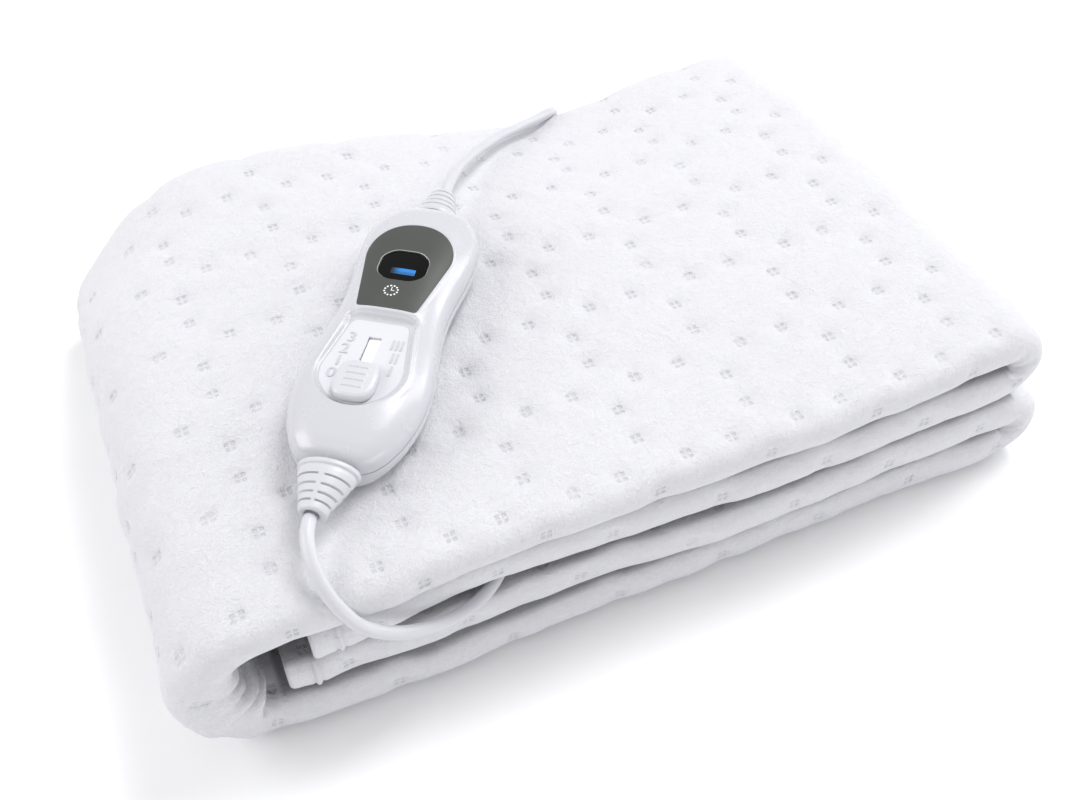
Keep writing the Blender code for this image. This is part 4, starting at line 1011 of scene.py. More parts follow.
def ring_plate(name, loops, heights):
    """A plate with an opening: outlines carried round its section, the last joined first."""
    rings = np.stack([np.concatenate([loop, height[:, None]], 1)
                      for loop, height in zip(loops, heights)])
    n, m = rings.shape[:2]
    made = make_mesh(name, rings, grid_faces(n, m, True, True)[0], PLATE_SMOOTH)
    face_outwards(made)
    return made


def solid_plate(name, outline, centre, top, under, bevel):
    """A plate on an outline: its rim bevelled, its top following a height function."""
    offset = outline - centre
    inset = offset * (1 - bevel / np.linalg.norm(offset, axis=1, keepdims=True))
    rows = [(inset * 0.5, under, 0), (inset, under, 0), (offset, under, bevel),
            (offset, top, -bevel)]
    shares = 1 - np.linspace(0, 1, PLATE_RINGS + 1)[:-1]
    rows += [(inset * share, top, 0) for share in shares]
    loops = [centre + flat for flat, height, lift in rows]
    return skin(name, np.stack([
        np.concatenate([loop, (height(*loop.T) + lift)[:, None]], 1)
        for loop, (flat, height, lift) in zip(loops, rows)]), PLATE_SMOOTH, poles=True)


def prisms(name, outlines, top, under):
    """Small closed prisms, one on each outline, between two height functions."""
    outlines = np.asarray(outlines, float)
    count, size = outlines.shape[:2]
    x, y = outlines[..., 0], outlines[..., 1]
    points = np.stack([np.stack([x, y, under(x, y)], 2), np.stack([x, y, top(x, y)], 2)], 1)
    start = np.arange(count)[:, None] * 2 * size
    k = np.arange(size)[None]
    ahead = (k + 1) % size
    sides = np.stack([start + k, start + ahead, start + size + ahead, start + size + k], 2)
    faces = sides.reshape(-1, 4).tolist() + (start + k[:, ::-1]).tolist() + (
        start + size + k).tolist()
    made = make_mesh(name, points, faces)
    made.data.shade_flat()
    return made


def disc_outlines(centres, radius):
    """Round outlines of twenty points about each centre."""
    angle = np.linspace(0, 2 * math.pi, 20, endpoint=False)
    return np.asarray(centres)[:, None] + radius * np.stack([np.cos(angle), np.sin(angle)], 1)


def bar_outline(start, end, half):
    """A bar with rounded ends between two points, as eight points."""
    way = (end - start) / np.linalg.norm(end - start)
    side = np.array((-way[1], way[0]))
    turns = np.radians((-67.5, -22.5, 22.5, 67.5))[:, None]
    return np.concatenate([end + half * (np.cos(turns) * way + np.sin(turns) * side),
                           start - half * (np.cos(turns) * way + np.sin(turns) * side)])


def figures(name, size, floor, raise_by):
    """Embossed figures: text made a mesh, welded, and laid on the field's floor."""
    build = bmesh.new()
    for text, x, y in FIGURES:
        curve = bpy.data.curves.new(name, "FONT")
        curve.body, curve.size, curve.extrude = text, size, raise_by
        curve.align_x, curve.align_y = "CENTER", "CENTER"
        curve.resolution_u = 3
        letters = bpy.data.objects.new(name, curve)
        mesh = bpy.data.meshes.new_from_object(letters)
        mesh.transform(Matrix.Translation((x, y, floor))
                       @ Matrix.Rotation(math.radians(-90), 4, "Z"))
        build.from_mesh(mesh)
        bpy.data.objects.remove(letters)
        bpy.data.meshes.remove(mesh)
    bmesh.ops.remove_doubles(build, verts=build.verts, dist=1e-6)
    bmesh.ops.recalc_face_normals(build, faces=build.faces)
    mesh = bpy.data.meshes.new(name)
    build.to_mesh(mesh)
    build.free()
    made = bpy.data.objects.new(name, mesh)
    bpy.context.scene.collection.objects.link(made)
    return made


def knob_surface():
    """Grip of the slider: rings of a superellipse outline, scaled and raised by a profile.

    A short stem stands in the slot. The side wall rises to an eased shoulder, the top is a
    low dome, and four cross ridges stand on it.
    """
    shares, rises = np.array(KNOB_PROFILE).T
    domed = np.linspace(0.86, 0.02, 40)
    shares = np.concatenate([shares, domed])[:, None]
    angle = np.linspace(0, 2 * math.pi, ROUND_SIDES, endpoint=False)
    c, s = np.cos(angle), np.sin(angle)
    x = KNOB_HALF[0] * np.sign(c) * np.abs(c) ** (2 / KNOB_POWER) * shares
    y = KNOB_HALF[1] * np.sign(s) * np.abs(s) ** (2 / KNOB_POWER) * shares
    rise = np.concatenate([rises, np.ones_like(domed)])[:, None] * np.ones_like(x)
    dome = KNOB_DOME * (1 - shares ** 2)
    row = KNOB_RIDGES
    centres = (np.arange(row["count"]) + row["first"]) * row["step"]
    ridge = sum(ease((row["half"] - np.abs(x - at)) / row["slope"]) for at in centres)
    ridge = ridge * ease((row["across"] - np.abs(y)) / row["ends"])
    base = FIELD_FLOOR + KNOB_LIFT
    raised = dome + row["height"] * ridge
    z = base + KNOB_HEIGHT * rise + np.where(rise >= 1, raised, 0)
    return skin("slider_grip", np.stack([x + KNOB_REST, y, z], 2), smooth_angle=50, poles=True)


def strain_relief(name, start, way, height, profile, slots, slot_half, bridge, cup):
    """A tapered relief along X: oval rings whose width and height come from the profile.

    Each slot sinks the surface by the cup's depth, apart from bridges some degrees wide at
    the top, the sides and the bottom. The tip ends in a cup that the lead comes out of.
    """
    table = np.array(profile) * MM
    along = between(0, table[-1, 0], 0.00017)
    size = np.stack([np.interp(along, table[:, 0], table[:, k]) for k in (1, 2)])[..., None]
    angle = np.linspace(0, 2 * math.pi, ROUND_SIDES, endpoint=False)
    from_top = np.degrees(np.abs((angle + math.pi) % (2 * math.pi) - math.pi))
    fold = np.minimum(from_top, 180 - from_top)
    open_here = ease((fold - bridge) / 4) * ease((90 - bridge - fold) / 4) if bridge else (
        np.ones_like(angle))
    sunk = sum((ease((slot_half + 0.00018 - np.abs(along - at)) / 0.0003)
                for at in np.array(slots) * MM), np.zeros_like(along))
    size = size - cup["depth"] * sunk[:, None] * open_here
    end = table[-1, 0]
    inner = np.array([(end, 0.0003), (end - 0.0002, 0), (end - 0.0025, 0)])
    mouth = np.repeat((cup["radius"] + inner[:, 1])[None, :, None], 2, 0) + 0 * size[:, :1]
    floor = np.full((2, 1, len(angle)), 0.0005)
    size = np.concatenate([size, mouth, floor], 1)
    along = np.concatenate([along, inner[:, 0], [end - 0.0026]])[:, None]
    x = start + way * along + 0 * angle
    rings = np.stack([x, size[0] * np.sin(angle), height + size[1] * np.cos(angle)], 2)
    return skin(name, rings, smooth_angle=45, poles=True)


RELIEF_HEIGHT = 0.0112
RELIEF_START = {"lower": -0.0724, "upper": 0.0690}
# Rows: distance along, half width, half height, in millimetres
LOWER_PROFILE = (
    (0, 11.0, 7.0), (0.3, 11.6, 7.5), (0.9, 11.8, 7.8), (2.0, 11.7, 7.7), (2.4, 11.3, 7.3),
    (2.6, 10.7, 6.9), (2.9, 10.8, 7.0), (3.2, 11.0, 7.1), (4.4, 10.8, 7.1), (6.2, 10.1, 6.9),
    (8.3, 9.3, 6.6), (12.0, 7.9, 6.0), (15.4, 6.6, 5.4), (17.4, 5.9, 5.0), (19.4, 5.4, 4.8),
    (19.9, 5.1, 4.6), (20.2, 4.5, 4.1),
)
UPPER_PROFILE = (
    (0, 10.6, 6.6), (1.2, 10.2, 6.8), (3.0, 9.2, 6.5), (4.4, 8.8, 6.3), (7.5, 7.9, 6.0),
    (10.8, 7.0, 5.6), (14.2, 6.0, 5.1), (15.7, 5.5, 4.8), (16.3, 5.2, 4.6), (16.6, 4.7, 4.1),
)
BOOT_PROFILE = (
    (0, 5.9, 5.9), (2.2, 5.7, 5.7), (2.5, 5.0, 5.0), (3.4, 5.0, 5.0), (3.7, 5.5, 5.5),
    (6.2, 5.4, 5.4), (6.5, 4.7, 4.7), (7.4, 4.7, 4.7), (7.7, 5.2, 5.2), (10.2, 5.0, 5.0),
    (10.5, 4.4, 4.4), (11.4, 4.4, 4.4), (11.7, 4.8, 4.8), (14.2, 4.7, 4.7), (14.5, 4.1, 4.1),
    (15.4, 4.1, 4.1), (15.7, 4.5, 4.5), (18.2, 4.4, 4.4), (18.5, 3.8, 3.8), (19.4, 3.8, 3.8),
    (19.7, 4.3, 4.3), (21.8, 4.2, 4.2), (22.3, 3.8, 3.8),
)


# ------------------------------------------------------------------ plug and coil strap
PLUG_SIDE = (       # distance along, half width, half thickness
    (0.0, 0.0088, 0.0060), (0.0060, 0.0092, 0.0064), (0.0119, 0.0104, 0.0067),
    (0.0180, 0.0142, 0.0068), (0.0245, 0.0176, 0.0068), (0.0300, 0.0180, 0.0068),
    (0.0340, 0.0180, 0.0068),
)
PLUG_LENGTH = 0.0340
PLUG_POWER = 4.2
PLUG_ROUND = 0.0018                 # rounding of its ends
PLUG_GROOVES = {"at": (0.0066, 0.0094, 0.0122, 0.0150, 0.0178), "half": 0.00080,
                "slope": 0.00045, "share": 0.085}
# Rows: distance along, radius
PRONG_CORE = ((0.0330, 0.0018), (0.0514, 0.0018), (0.0522, 0.00172), (0.0528, 0.0015),
              (0.0532, 0.00115), (0.0534, 0.0006))
PRONG_SLEEVE = ((0.0334, 0.0021), (0.0336, 0.0026), (0.0346, 0.0026), (0.0349, 0.0020),
                (0.0441, 0.0020), (0.0444, 0.0019), (0.0445, 0.0017))
PRONG_APART = 0.0186
STRAP_AT = math.radians(200.0)      # where the strap crosses the coil, round its middle
STRAP_OUT = 0.0280                  # and how far out
STRAP_ARCH = ((-0.0108, 0.0005), (-0.0108, 0.0188), (-0.0062, 0.0233), (0.0062, 0.0233),
              (0.0106, 0.0188), (0.0106, 0.0005))


def plug_shell():
    """Plug body: squared oval sections lofted along it, with soft ends and finger grooves."""
    x = between(0.0, PLUG_LENGTH, 0.0003)
    w, t = smooth_table(x, PLUG_SIDE, 1), smooth_table(x, PLUG_SIDE, 2)
    to_end = np.clip(1 - np.minimum(x, PLUG_LENGTH - x) / PLUG_ROUND, 0, 1)
    soft = PLUG_ROUND * (1 - np.sqrt(1 - to_end ** 2))
    angle = np.linspace(0, 2 * math.pi, 160, endpoint=False)
    c, s = np.cos(angle), np.sin(angle)
    y = (w - soft)[:, None] * np.sign(c) * np.abs(c) ** (2 / PLUG_POWER)
    z = (t - soft)[:, None] * np.sign(s) * np.abs(s) ** (2 / PLUG_POWER)
    groove = sum(ease((PLUG_GROOVES["half"] - np.abs(x - at)) / PLUG_GROOVES["slope"])
                 for at in PLUG_GROOVES["at"])
    across = ease((0.80 * w[:, None] - np.abs(y)) / 0.0015)
    z = z * (1 - PLUG_GROOVES["share"] * groove[:, None] * across)
    x = np.repeat(x[:, None], len(angle), 1)
    return skin("plug_shell", np.stack([x, y, z], 2), smooth_angle=55, poles=True)


def turned(name, at, stations):
    """A turned piece along X, its radius given at stations; the ends close to points."""
    stations = np.array(stations)
    angle = np.linspace(0, 2 * math.pi, 40, endpoint=False)
    x = stations[:, :1] + 0 * angle
    y, z = stations[:, 1:] * np.cos(angle), stations[:, 1:] * np.sin(angle)
    return skin(name, np.stack([x, y, z], 2) + np.array(at), smooth_angle=40, poles=True)


def strap():
    """Strap over the coil: a thin band with soft edges following an arch with round bends."""
    path = smooth_curve([(a, 0.0, b) for a, b in STRAP_ARCH], 0.0006)[:, (0, 2)]
    along = np.gradient(path, axis=0)
    along /= np.linalg.norm(along, axis=1, keepdims=True)
    out = np.stack([-along[:, 1], along[:, 0]], 1)
    angle = np.linspace(0, 2 * math.pi, 28, endpoint=False)
    thick = 0.0005 * np.sign(np.sin(angle)) * np.abs(np.sin(angle)) ** 0.5
    wide = 0.0040 * np.sign(np.cos(angle)) * np.abs(np.cos(angle)) ** 0.2
    flat = path[:, None] + out[:, None] * thick[:, None]
    rings = np.stack([flat[..., 0], wide + 0 * flat[..., 0], flat[..., 1]], 2)
    return skin("coil_strap", rings, smooth_angle=50, poles=True)


# ------------------------------------------------------------------ settings
def colour_prop(name, code, description):
    """A colour a user may change, shown as a swatch; its default is an sRGB hex code."""
    return FloatVectorProperty(name=name, description=description, subtype="COLOR", size=3,
                               min=0, max=1, default=srgb(code)[:3])


class ClothSettings(bpy.types.PropertyGroup):
    felt: colour_prop("Felt", "DDDDE2", "Colour of the felt")
    weld: colour_prop("Weld", "C6C6CE", "Colour of the pressed welds")
    dimple_depth: FloatProperty(name="Dimple", description="Depth of the felt at a weld",
                                default=0.0016, min=0, unit="LENGTH", precision=5)
    front_power: FloatProperty(name="Front fold", description="Squareness of the front folds",
                               default=2.08, min=2.0, max=4.0)
    puff: FloatProperty(name="Puff", description="Rise of the felt between welds",
                        default=0.0006, min=0, unit="LENGTH", precision=5)
    ripple: FloatProperty(name="Ripple", description="Height of the soft ripples",
                          default=0.0009, min=0, unit="LENGTH", precision=5)


class LeadSettings(bpy.types.PropertyGroup):
    pvc: colour_prop("PVC", "C8C8CE", "Colour of the leads, reliefs and plug")
    tie: colour_prop("Tie", "D9D9DD", "Colour of the strap round the coil")
    sides: IntProperty(name="Sides", description="Facets round a lead", default=20, min=8)


class ControllerSettings(bpy.types.PropertyGroup):
    abs_white: colour_prop("Housing", "C0C0C6", "Colour of the moulded housing")
    panel: colour_prop("Panel", "474947", "Colour of the printed panel")
    bar: colour_prop("Bar", "2274BC", "Colour of the lit bar")
    glow: FloatProperty(name="Glow", description="Brightness of the lit bar", default=0.18,
                        min=0)
    figure_size: FloatProperty(name="Figures", description="Height of the embossed figures",
                               default=0.0074, min=0.001, unit="LENGTH", precision=4)


class StageSettings(bpy.types.PropertyGroup):
    floor: colour_prop("Floor", "F5F5F6", "Colour of the floor")
    lens: FloatProperty(name="Lens", description="Focal length of the camera, in millimetres",
                        default=38.4, min=10)
    key: FloatProperty(name="Key light", description="Power of the large light behind",
                       default=47.0, min=0, unit="POWER")
    strip: FloatProperty(name="Strip light", description="Power of the strip on the right",
                         default=12.0, min=0, unit="POWER")
    card: FloatProperty(name="Left card", description="Power of the card on the left",
                        default=22.0, min=0, unit="POWER")
    low_card: FloatProperty(name="Low card", description="Power of the low card in front",
                            default=8.0, min=0, unit="POWER")
    fill: FloatProperty(name="Fill", description="Brightness of the surroundings",
                        default=0.61, min=0)


# ------------------------------------------------------------------ operators
CAMERA_AT = (-0.1432, -0.3441, 0.4101)
CAMERA_RIGHT = (0.91706, -0.39875, 0.0)
CAMERA_UP = (0.29911, 0.68790, 0.66131)
FLOOR_HALF = 4.0
FLOOR_DROP = 0.0002         # how far the floor lies below the stack, so that they don't mix
# Rows: name, setting that holds its power, width and height, place, point it faces
LIGHTS = (
    ("key", "key", (1.2, 1.2), (1.38, 0.68, 2.32), (0.0, 0.0, 0.05)),
    ("flank strip", "strip", (0.45, 1.6), (1.75, 0.12, 0.75), (0.0, 0.0, 0.06)),
    ("left card", "card", (1.3, 1.3), (-1.65, 0.45, 1.15), (-0.1, 0.0, 0.03)),
    ("low card", "low_card", (1.8, 0.4), (0.35, -1.75, 0.30), (0.0, 0.0, 0.05)),
)


def area_light(name, power, size, at, towards):
    """A rectangular area light at a place, turned towards another."""
    data = bpy.data.lights.new(name, "AREA")
    data.energy, data.shape, data.size, data.size_y = power, "RECTANGLE", *size
    made = bpy.data.objects.new(name, data)
    made.location = at
    made.rotation_euler = (Vector(towards) - Vector(at)).to_track_quat("-Z", "Y").to_euler()
    bpy.context.scene.collection.objects.link(made)


class UNDERBLANKET_OT_stage(bpy.types.Operator):
    """Lay the floor, set the camera and the soft studio lights"""
    bl_idname = "underblanket.stage"
    bl_label = "Stage"

    def execute(self, context):
        look = context.scene.underblanket_stage
        scene = context.scene
        right, up = Vector(CAMERA_RIGHT), Vector(CAMERA_UP)
        data = bpy.data.cameras.new("camera")
        data.lens, data.sensor_width, data.clip_start = look.lens, 36.0, 0.01
        camera = bpy.data.objects.new("camera", data)
        turn = Matrix((right, up, right.cross(up))).transposed().to_4x4()
        camera.matrix_world = Matrix.Translation(CAMERA_AT) @ turn
        scene.collection.objects.link(camera)
        scene.camera = camera
        scene.view_settings.view_transform = "Standard"

        reach = np.linspace(-1, 1, 9) * FLOOR_HALF
        x, y = np.meshgrid(reach, reach, indexing="ij")
        floor = make_mesh("floor", np.stack([x, y, np.full_like(x, -FLOOR_DROP)], 2),
                          grid_faces(9, 9)[0])
        # Matt painted board: even and pale, only just not flat.
        paint, tree, shader = finish("matt painted board", look.floor, 0.85)
        place_on = node(tree, "ShaderNodeTexCoord")
        mottle = node(tree, "ShaderNodeTexNoise", Vector=place_on.outputs["Object"], Scale=14.0)
        rough = node(tree, "ShaderNodeMapRange", Value=mottle.outputs["Fac"], To_Min=0.8,
                     To_Max=0.9)
        tree.links.new(rough.outputs[0], shader.inputs["Roughness"])
        floor.data.materials.append(paint)

        world = bpy.data.worlds.new("studio")
        world.use_nodes = True
        sky = world.node_tree.nodes["Background"]
        sky.inputs["Color"].default_value = (1.0, 1.0, 1.0, 1.0)
        sky.inputs["Strength"].default_value = look.fill
        scene.world = world
        for name, setting, size, at, towards in LIGHTS:
            area_light(name, getattr(look, setting), size, at, towards)
        return {"FINISHED"}


class UNDERBLANKET_OT_leads(bpy.types.Operator):
    """Lay the blanket's lead and the mains lead with its coil"""
    bl_idname = "underblanket.leads"
    bl_label = "Leads"

    def execute(self, context):
        look = context.scene.underblanket_leads
        pvc = soft_pvc("extruded soft PVC", look)
        path = smooth_curve(SOUTH_ROUTE, CORD_STEP)
        short = tube("blanket_lead_cord", path, CORD_D / 2, look.sides)
        settle_piece(short, pvc, stands_for=("blanket_lead",))

        route = np.concatenate([NORTH_ROUTE, coil_route(), plug_route()])
        path = smooth_curve(route, CORD_STEP)
        inside = CONTROLLER_PLACE @ Vector((0.0835, 0.0, RELIEF_HEIGHT))
        into_relief = path[0] + (np.array(inside) - path[0]) * np.linspace(1, 0.25, 4)[:, None]
        path = np.concatenate([into_relief, path])
        long = tube("mains_lead_cord", path, CORD_D / 2, look.sides)
        settle_piece(long, pvc,
                     stands_for=("mains_lead", "mains_lead_coil", "plug_lead"))
        return {"FINISHED"}


class UNDERBLANKET_OT_plug(bpy.types.Operator):
    """Shape the plug, its boot and prongs, and the strap round the coil"""
    bl_idname = "underblanket.plug"
    bl_label = "Plug and strap"

    def execute(self, context):
        look = context.scene.underblanket_leads
        pvc = soft_pvc("overmoulded soft PVC", look)
        at = plug_place()
        settle_piece(place(plug_shell(), at), pvc, stands_for=("plug_body",))
        boot = strain_relief("plug_boot", 0.0006, -1, 0.0, BOOT_PROFILE, (), 0.0, 0,
                             {"radius": 0.0030, "depth": 0.0})
        settle_piece(place(boot, at), pvc, stands_for=("plug_relief",))

        # Nickel plate over brass: bright and faintly warm, with drawing marks along it.
        metal, tree, shader = finish("nickel-plated brass", srgb("CFCBC2"), 0.24, Metallic=1.0)
        place_on = node(tree, "ShaderNodeTexCoord")
        drawn = node(tree, "ShaderNodeTexNoise", Vector=place_on.outputs["Object"],
                     Scale=900.0, Detail=3.0)
        rough = node(tree, "ShaderNodeMapRange", Value=drawn.outputs["Fac"], To_Min=0.16,
                     To_Max=0.34)
        tree.links.new(rough.outputs[0], shader.inputs["Roughness"])
        # Nylon sleeve: whiter and duller than the plug.
        nylon, tree, shader = finish("moulded nylon", srgb("DADADC"), 0.45)
        place_on = node(tree, "ShaderNodeTexCoord")
        grain = node(tree, "ShaderNodeTexNoise", Vector=place_on.outputs["Object"],
                     Scale=2500.0)
        bump = node(tree, "ShaderNodeBump", Height=grain.outputs["Fac"], Distance=0.00005,
                    Strength=0.4)
        tree.links.new(bump.outputs["Normal"], shader.inputs["Normal"])
        for side, hand in ((1, "left"), (-1, "right")):
            beside = (0, side * PRONG_APART / 2, 0)
            prong = place(turned(f"prong_{hand}", beside, PRONG_CORE), at)
            settle_piece(prong, metal, stands_for=(f"plug_pin_{hand}",))
            cover = place(turned(f"prong_sleeve_{hand}", beside, PRONG_SLEEVE), at)
            settle_piece(cover, nylon)

        # Woven nylon tape: fine ribs of about 0.7 mm across the strap.
        tape, tree, shader = finish("woven nylon tape", look.tie, 0.7, Sheen_Weight=0.1)
        place_on = node(tree, "ShaderNodeTexCoord")
        ribs = node(tree, "ShaderNodeTexWave", {"bands_direction": "DIAGONAL"},
                    Vector=place_on.outputs["Object"], Scale=520.0, Distortion=0.4)
        bump = node(tree, "ShaderNodeBump", Height=ribs.outputs["Fac"], Distance=0.0002,
                    Strength=0.6)
        tree.links.new(bump.outputs["Normal"], shader.inputs["Normal"])
        outwards = Matrix.Rotation(STRAP_AT, 4, "Z")
        over = Matrix.Translation((*COIL_AT, 0.0)) @ outwards @ Matrix.Translation(
            (STRAP_OUT, 0, 0))
        settle_piece(place(strap(), over), tape, stands_for=("coil_tie",))
        return {"FINISHED"}


class UNDERBLANKET_OT_cloth(bpy.types.Operator):
    """Fold the blanket's felt"""
    bl_idname = "underblanket.cloth"
    bl_label = "Blanket"

    def execute(self, context):
        look = context.scene.underblanket_cloth
        made = cloth(look)
        settle_piece(made, needle_felt(look), stands_for=("blanket",))
        return {"FINISHED"}


class UNDERBLANKET_OT_housing(bpy.types.Operator):
    """Loft the controller's two halves and turn its strain reliefs"""
    bl_idname = "underblanket.housing"
    bl_label = "Housing and reliefs"

    def execute(self, context):
        look = context.scene.underblanket_controller
        white = moulded_abs("moulded white ABS", look.abs_white)
        for name, power, upper, node_name in (
                ("housing_upper", DECK_POWER, True, "upper_shell"),
                ("housing_lower", BELLY_POWER, False, "lower_shell")):
            made = place(housing_half(name, power, upper), CONTROLLER_PLACE)
            settle_piece(made, white, stands_for=(node_name,))
        pvc = moulded_abs("moulded white PVC", [1.04 * c for c in look.abs_white], 0.36)
        lower = strain_relief("relief_lower", RELIEF_START["lower"], -1, RELIEF_HEIGHT,
                              LOWER_PROFILE, (6.7, 10.4, 13.8, 16.9), 0.00026, 6,
                              {"radius": 0.0028, "depth": 0.0018})
        settle_piece(place(lower, CONTROLLER_PLACE), pvc,
                     stands_for=("lower_relief",))
        upper = strain_relief("relief_upper", RELIEF_START["upper"], 1, RELIEF_HEIGHT,
                              UPPER_PROFILE, (4.4, 7.5, 10.8, 14.2), 0.00020, 0,
                              {"radius": 0.0028, "depth": 0.0007})
        settle_piece(place(upper, CONTROLLER_PLACE), pvc,
                     stands_for=("upper_relief",))
        return {"FINISHED"}


class UNDERBLANKET_OT_display(bpy.types.Operator):
    """Fit the dark panel with its window, lens, lit bar and dotted clock face"""
    bl_idname = "underblanket.display"
    bl_label = "Display"

    def execute(self, context):
        look = context.scene.underblanket_controller
        self.panel(look)
        self.lens()
        self.bar(look)
        self.clock()
        return {"FINISHED"}

    def panel(self, look):
        """The dark printed panel, with a polished edge round its window, painted light as a
        highlight.
        """
        centre = np.array((WINDOW["centre"], 0.0))
        turn = np.linspace(-math.pi, math.pi, 240, endpoint=False)
        outer = polar(teardrop(PANEL_HEAD, PANEL_FOOT, PANEL_SOFT), centre, turn)
        inner = polar(window_outline(), centre, turn)
        way = (outer - inner) / np.linalg.norm(outer - inner, axis=1, keepdims=True)
        edge = PANEL_EDGE
        flats = [inner, inner + way * edge] + [
            inner + way * edge + (outer - inner - 2 * way * edge) * t
            for t in np.linspace(0, 1, 14)[1:]] + [outer, outer, inner]
        tops = [deck(*flat.T) + PANEL_PROUD for flat in flats]
        low = tops[-2] - PANEL_THICK
        heights = [tops[0] - edge] + tops[1:-3] + [tops[-3] - edge, low, tops[-1] - PANEL_THICK]
        panel = ring_plate("panel", flats, heights)
        # The faces of the window's bevel take the second material, a painted highlight.
        lit = np.zeros(len(panel.data.polygons), int)
        lit[:len(turn)] = 1
        panel.data.polygons.foreach_set("material_index", lit)

        printed, tree, shader = finish("back-printed polycarbonate", look.panel, 0.42,
                                       Specular_IOR_Level=0.22, IOR=1.58)
        place_on = node(tree, "ShaderNodeTexCoord")
        # The print is even; the film over it has a fine velvet grain of about 0.15 mm.
        grain = node(tree, "ShaderNodeTexNoise", Vector=place_on.outputs["Object"],
                     Scale=4200.0, Detail=2.0)
        cloud = node(tree, "ShaderNodeTexNoise", Vector=place_on.outputs["Object"], Scale=60.0)
        tint = node(tree, "ShaderNodeMix", {"data_type": "RGBA"}, Factor=cloud.outputs["Fac"])
        tint.inputs[6].default_value = [0.90 * c for c in look.panel] + [1.0]
        tint.inputs[7].default_value = [1.12 * c for c in look.panel] + [1.0]
        tree.links.new(tint.outputs[2], shader.inputs["Base Color"])
        bump = node(tree, "ShaderNodeBump", Height=grain.outputs["Fac"], Distance=0.00004,
                    Strength=0.5)
        tree.links.new(bump.outputs["Normal"], shader.inputs["Normal"])
        # The window's polished edge is coloured light grey: a painted highlight along it.
        polished_edge_highlight, tree, shader = finish("polished polycarbonate edge", srgb("A9ABA9"), 0.15)
        place_on = node(tree, "ShaderNodeTexCoord")
        wear = node(tree, "ShaderNodeTexNoise", Vector=place_on.outputs["Object"], Scale=900.0)
        rough = node(tree, "ShaderNodeMapRange", Value=wear.outputs["Fac"], To_Min=0.08,
                     To_Max=0.28)
        tree.links.new(rough.outputs[0], shader.inputs["Roughness"])
        settle_piece(place(panel, CONTROLLER_PLACE), (printed, polished_edge_highlight),
                     stands_for=("display_panel",))

    def lens(self):
        """The lens in the window: smoked acrylic, black and smooth, with the odd hairline."""
        smoked, tree, shader = finish("smoked acrylic", srgb("08080A"), 0.06,
                                      Specular_IOR_Level=0.16, IOR=1.49)
        place_on = node(tree, "ShaderNodeTexCoord")
        lines = node(tree, "ShaderNodeTexNoise", Vector=place_on.outputs["Object"],
                     Scale=700.0, Detail=3.0)
        rough = node(tree, "ShaderNodeMapRange", Value=lines.outputs["Fac"], To_Min=0.04,
                     To_Max=0.12)
        tree.links.new(rough.outputs[0], shader.inputs["Roughness"])
        centre = np.array((WINDOW["centre"], 0.0))
        turn = np.linspace(-math.pi, math.pi, 120, endpoint=False)
        lens = solid_plate("lens", polar(window_outline(LENS["grow"]), centre, turn), centre,
                           lambda x, y: deck(x, y) - LENS["top"],
                           lambda x, y: deck(x, y) - LENS["under"], LENS["bevel"])
        settle_piece(place(lens, CONTROLLER_PLACE), smoked,
                     stands_for=("display_lens",))

    def bar(self, look):
        """The lit bar under the lens, which fades out at its left end."""
        corners = rectangle(BAR_CENTRE, BAR_HALF)
        turn = np.linspace(-math.pi, math.pi, 200, endpoint=False)
        outline = polar(soften(corners, BAR["soft"], 4), np.array(BAR_CENTRE), turn)
        bar = solid_plate("lit_bar", outline, np.array(BAR_CENTRE),
                          lambda x, y: deck(x, y) - BAR["top"],
                          lambda x, y: deck(x, y) - BAR["under"], BAR["bevel"])
        lit, tree, shader = finish("lit blue diffuser film", look.bar, 0.3,
                                   Emission_Strength=look.glow)
        place_on = node(tree, "ShaderNodeTexCoord")
        turn_back = CONTROLLER_PLACE.inverted()
        local = node(tree, "ShaderNodeMapping", {"vector_type": "POINT"},
                     Vector=place_on.outputs["Object"],
                     Location=tuple(turn_back.translation),
                     Rotation=tuple(turn_back.to_euler()))
        local = node(tree, "ShaderNodeSeparateXYZ", Vector=local.outputs[0])
        fade = node(tree, "ShaderNodeMapRange", {"interpolation_type": "SMOOTHSTEP"},
                    Value=local.outputs["Y"], From_Min=BAR_CENTRE[1] + BAR_HALF[1],
                    From_Max=BAR_CENTRE[1] + 0.1 * BAR_HALF[1])
        step = node(tree, "ShaderNodeMapRange", {"interpolation_type": "SMOOTHSTEP"},
                    Value=local.outputs["X"], From_Min=BAR_CENTRE[0] - 0.0005,
                    From_Max=BAR_CENTRE[0] + 0.0003)
        shade = node(tree, "ShaderNodeMix", {"data_type": "RGBA"}, Factor=step.outputs[0])
        shade.inputs[6].default_value = [0.62 * c for c in look.bar] + [1.0]
        shade.inputs[7].default_value = (*look.bar, 1.0)
        glow = node(tree, "ShaderNodeMix", {"data_type": "RGBA"}, Factor=fade.outputs[0])
        glow.inputs[6].default_value = srgb("0B0C10")
        tree.links.new(shade.outputs[2], glow.inputs[7])
        tree.links.new(glow.outputs[2], shader.inputs["Base Color"])
        tree.links.new(glow.outputs[2], shader.inputs["Emission Color"])
        settle_piece(place(bar, CONTROLLER_PLACE), lit, stands_for=("display_bar",))

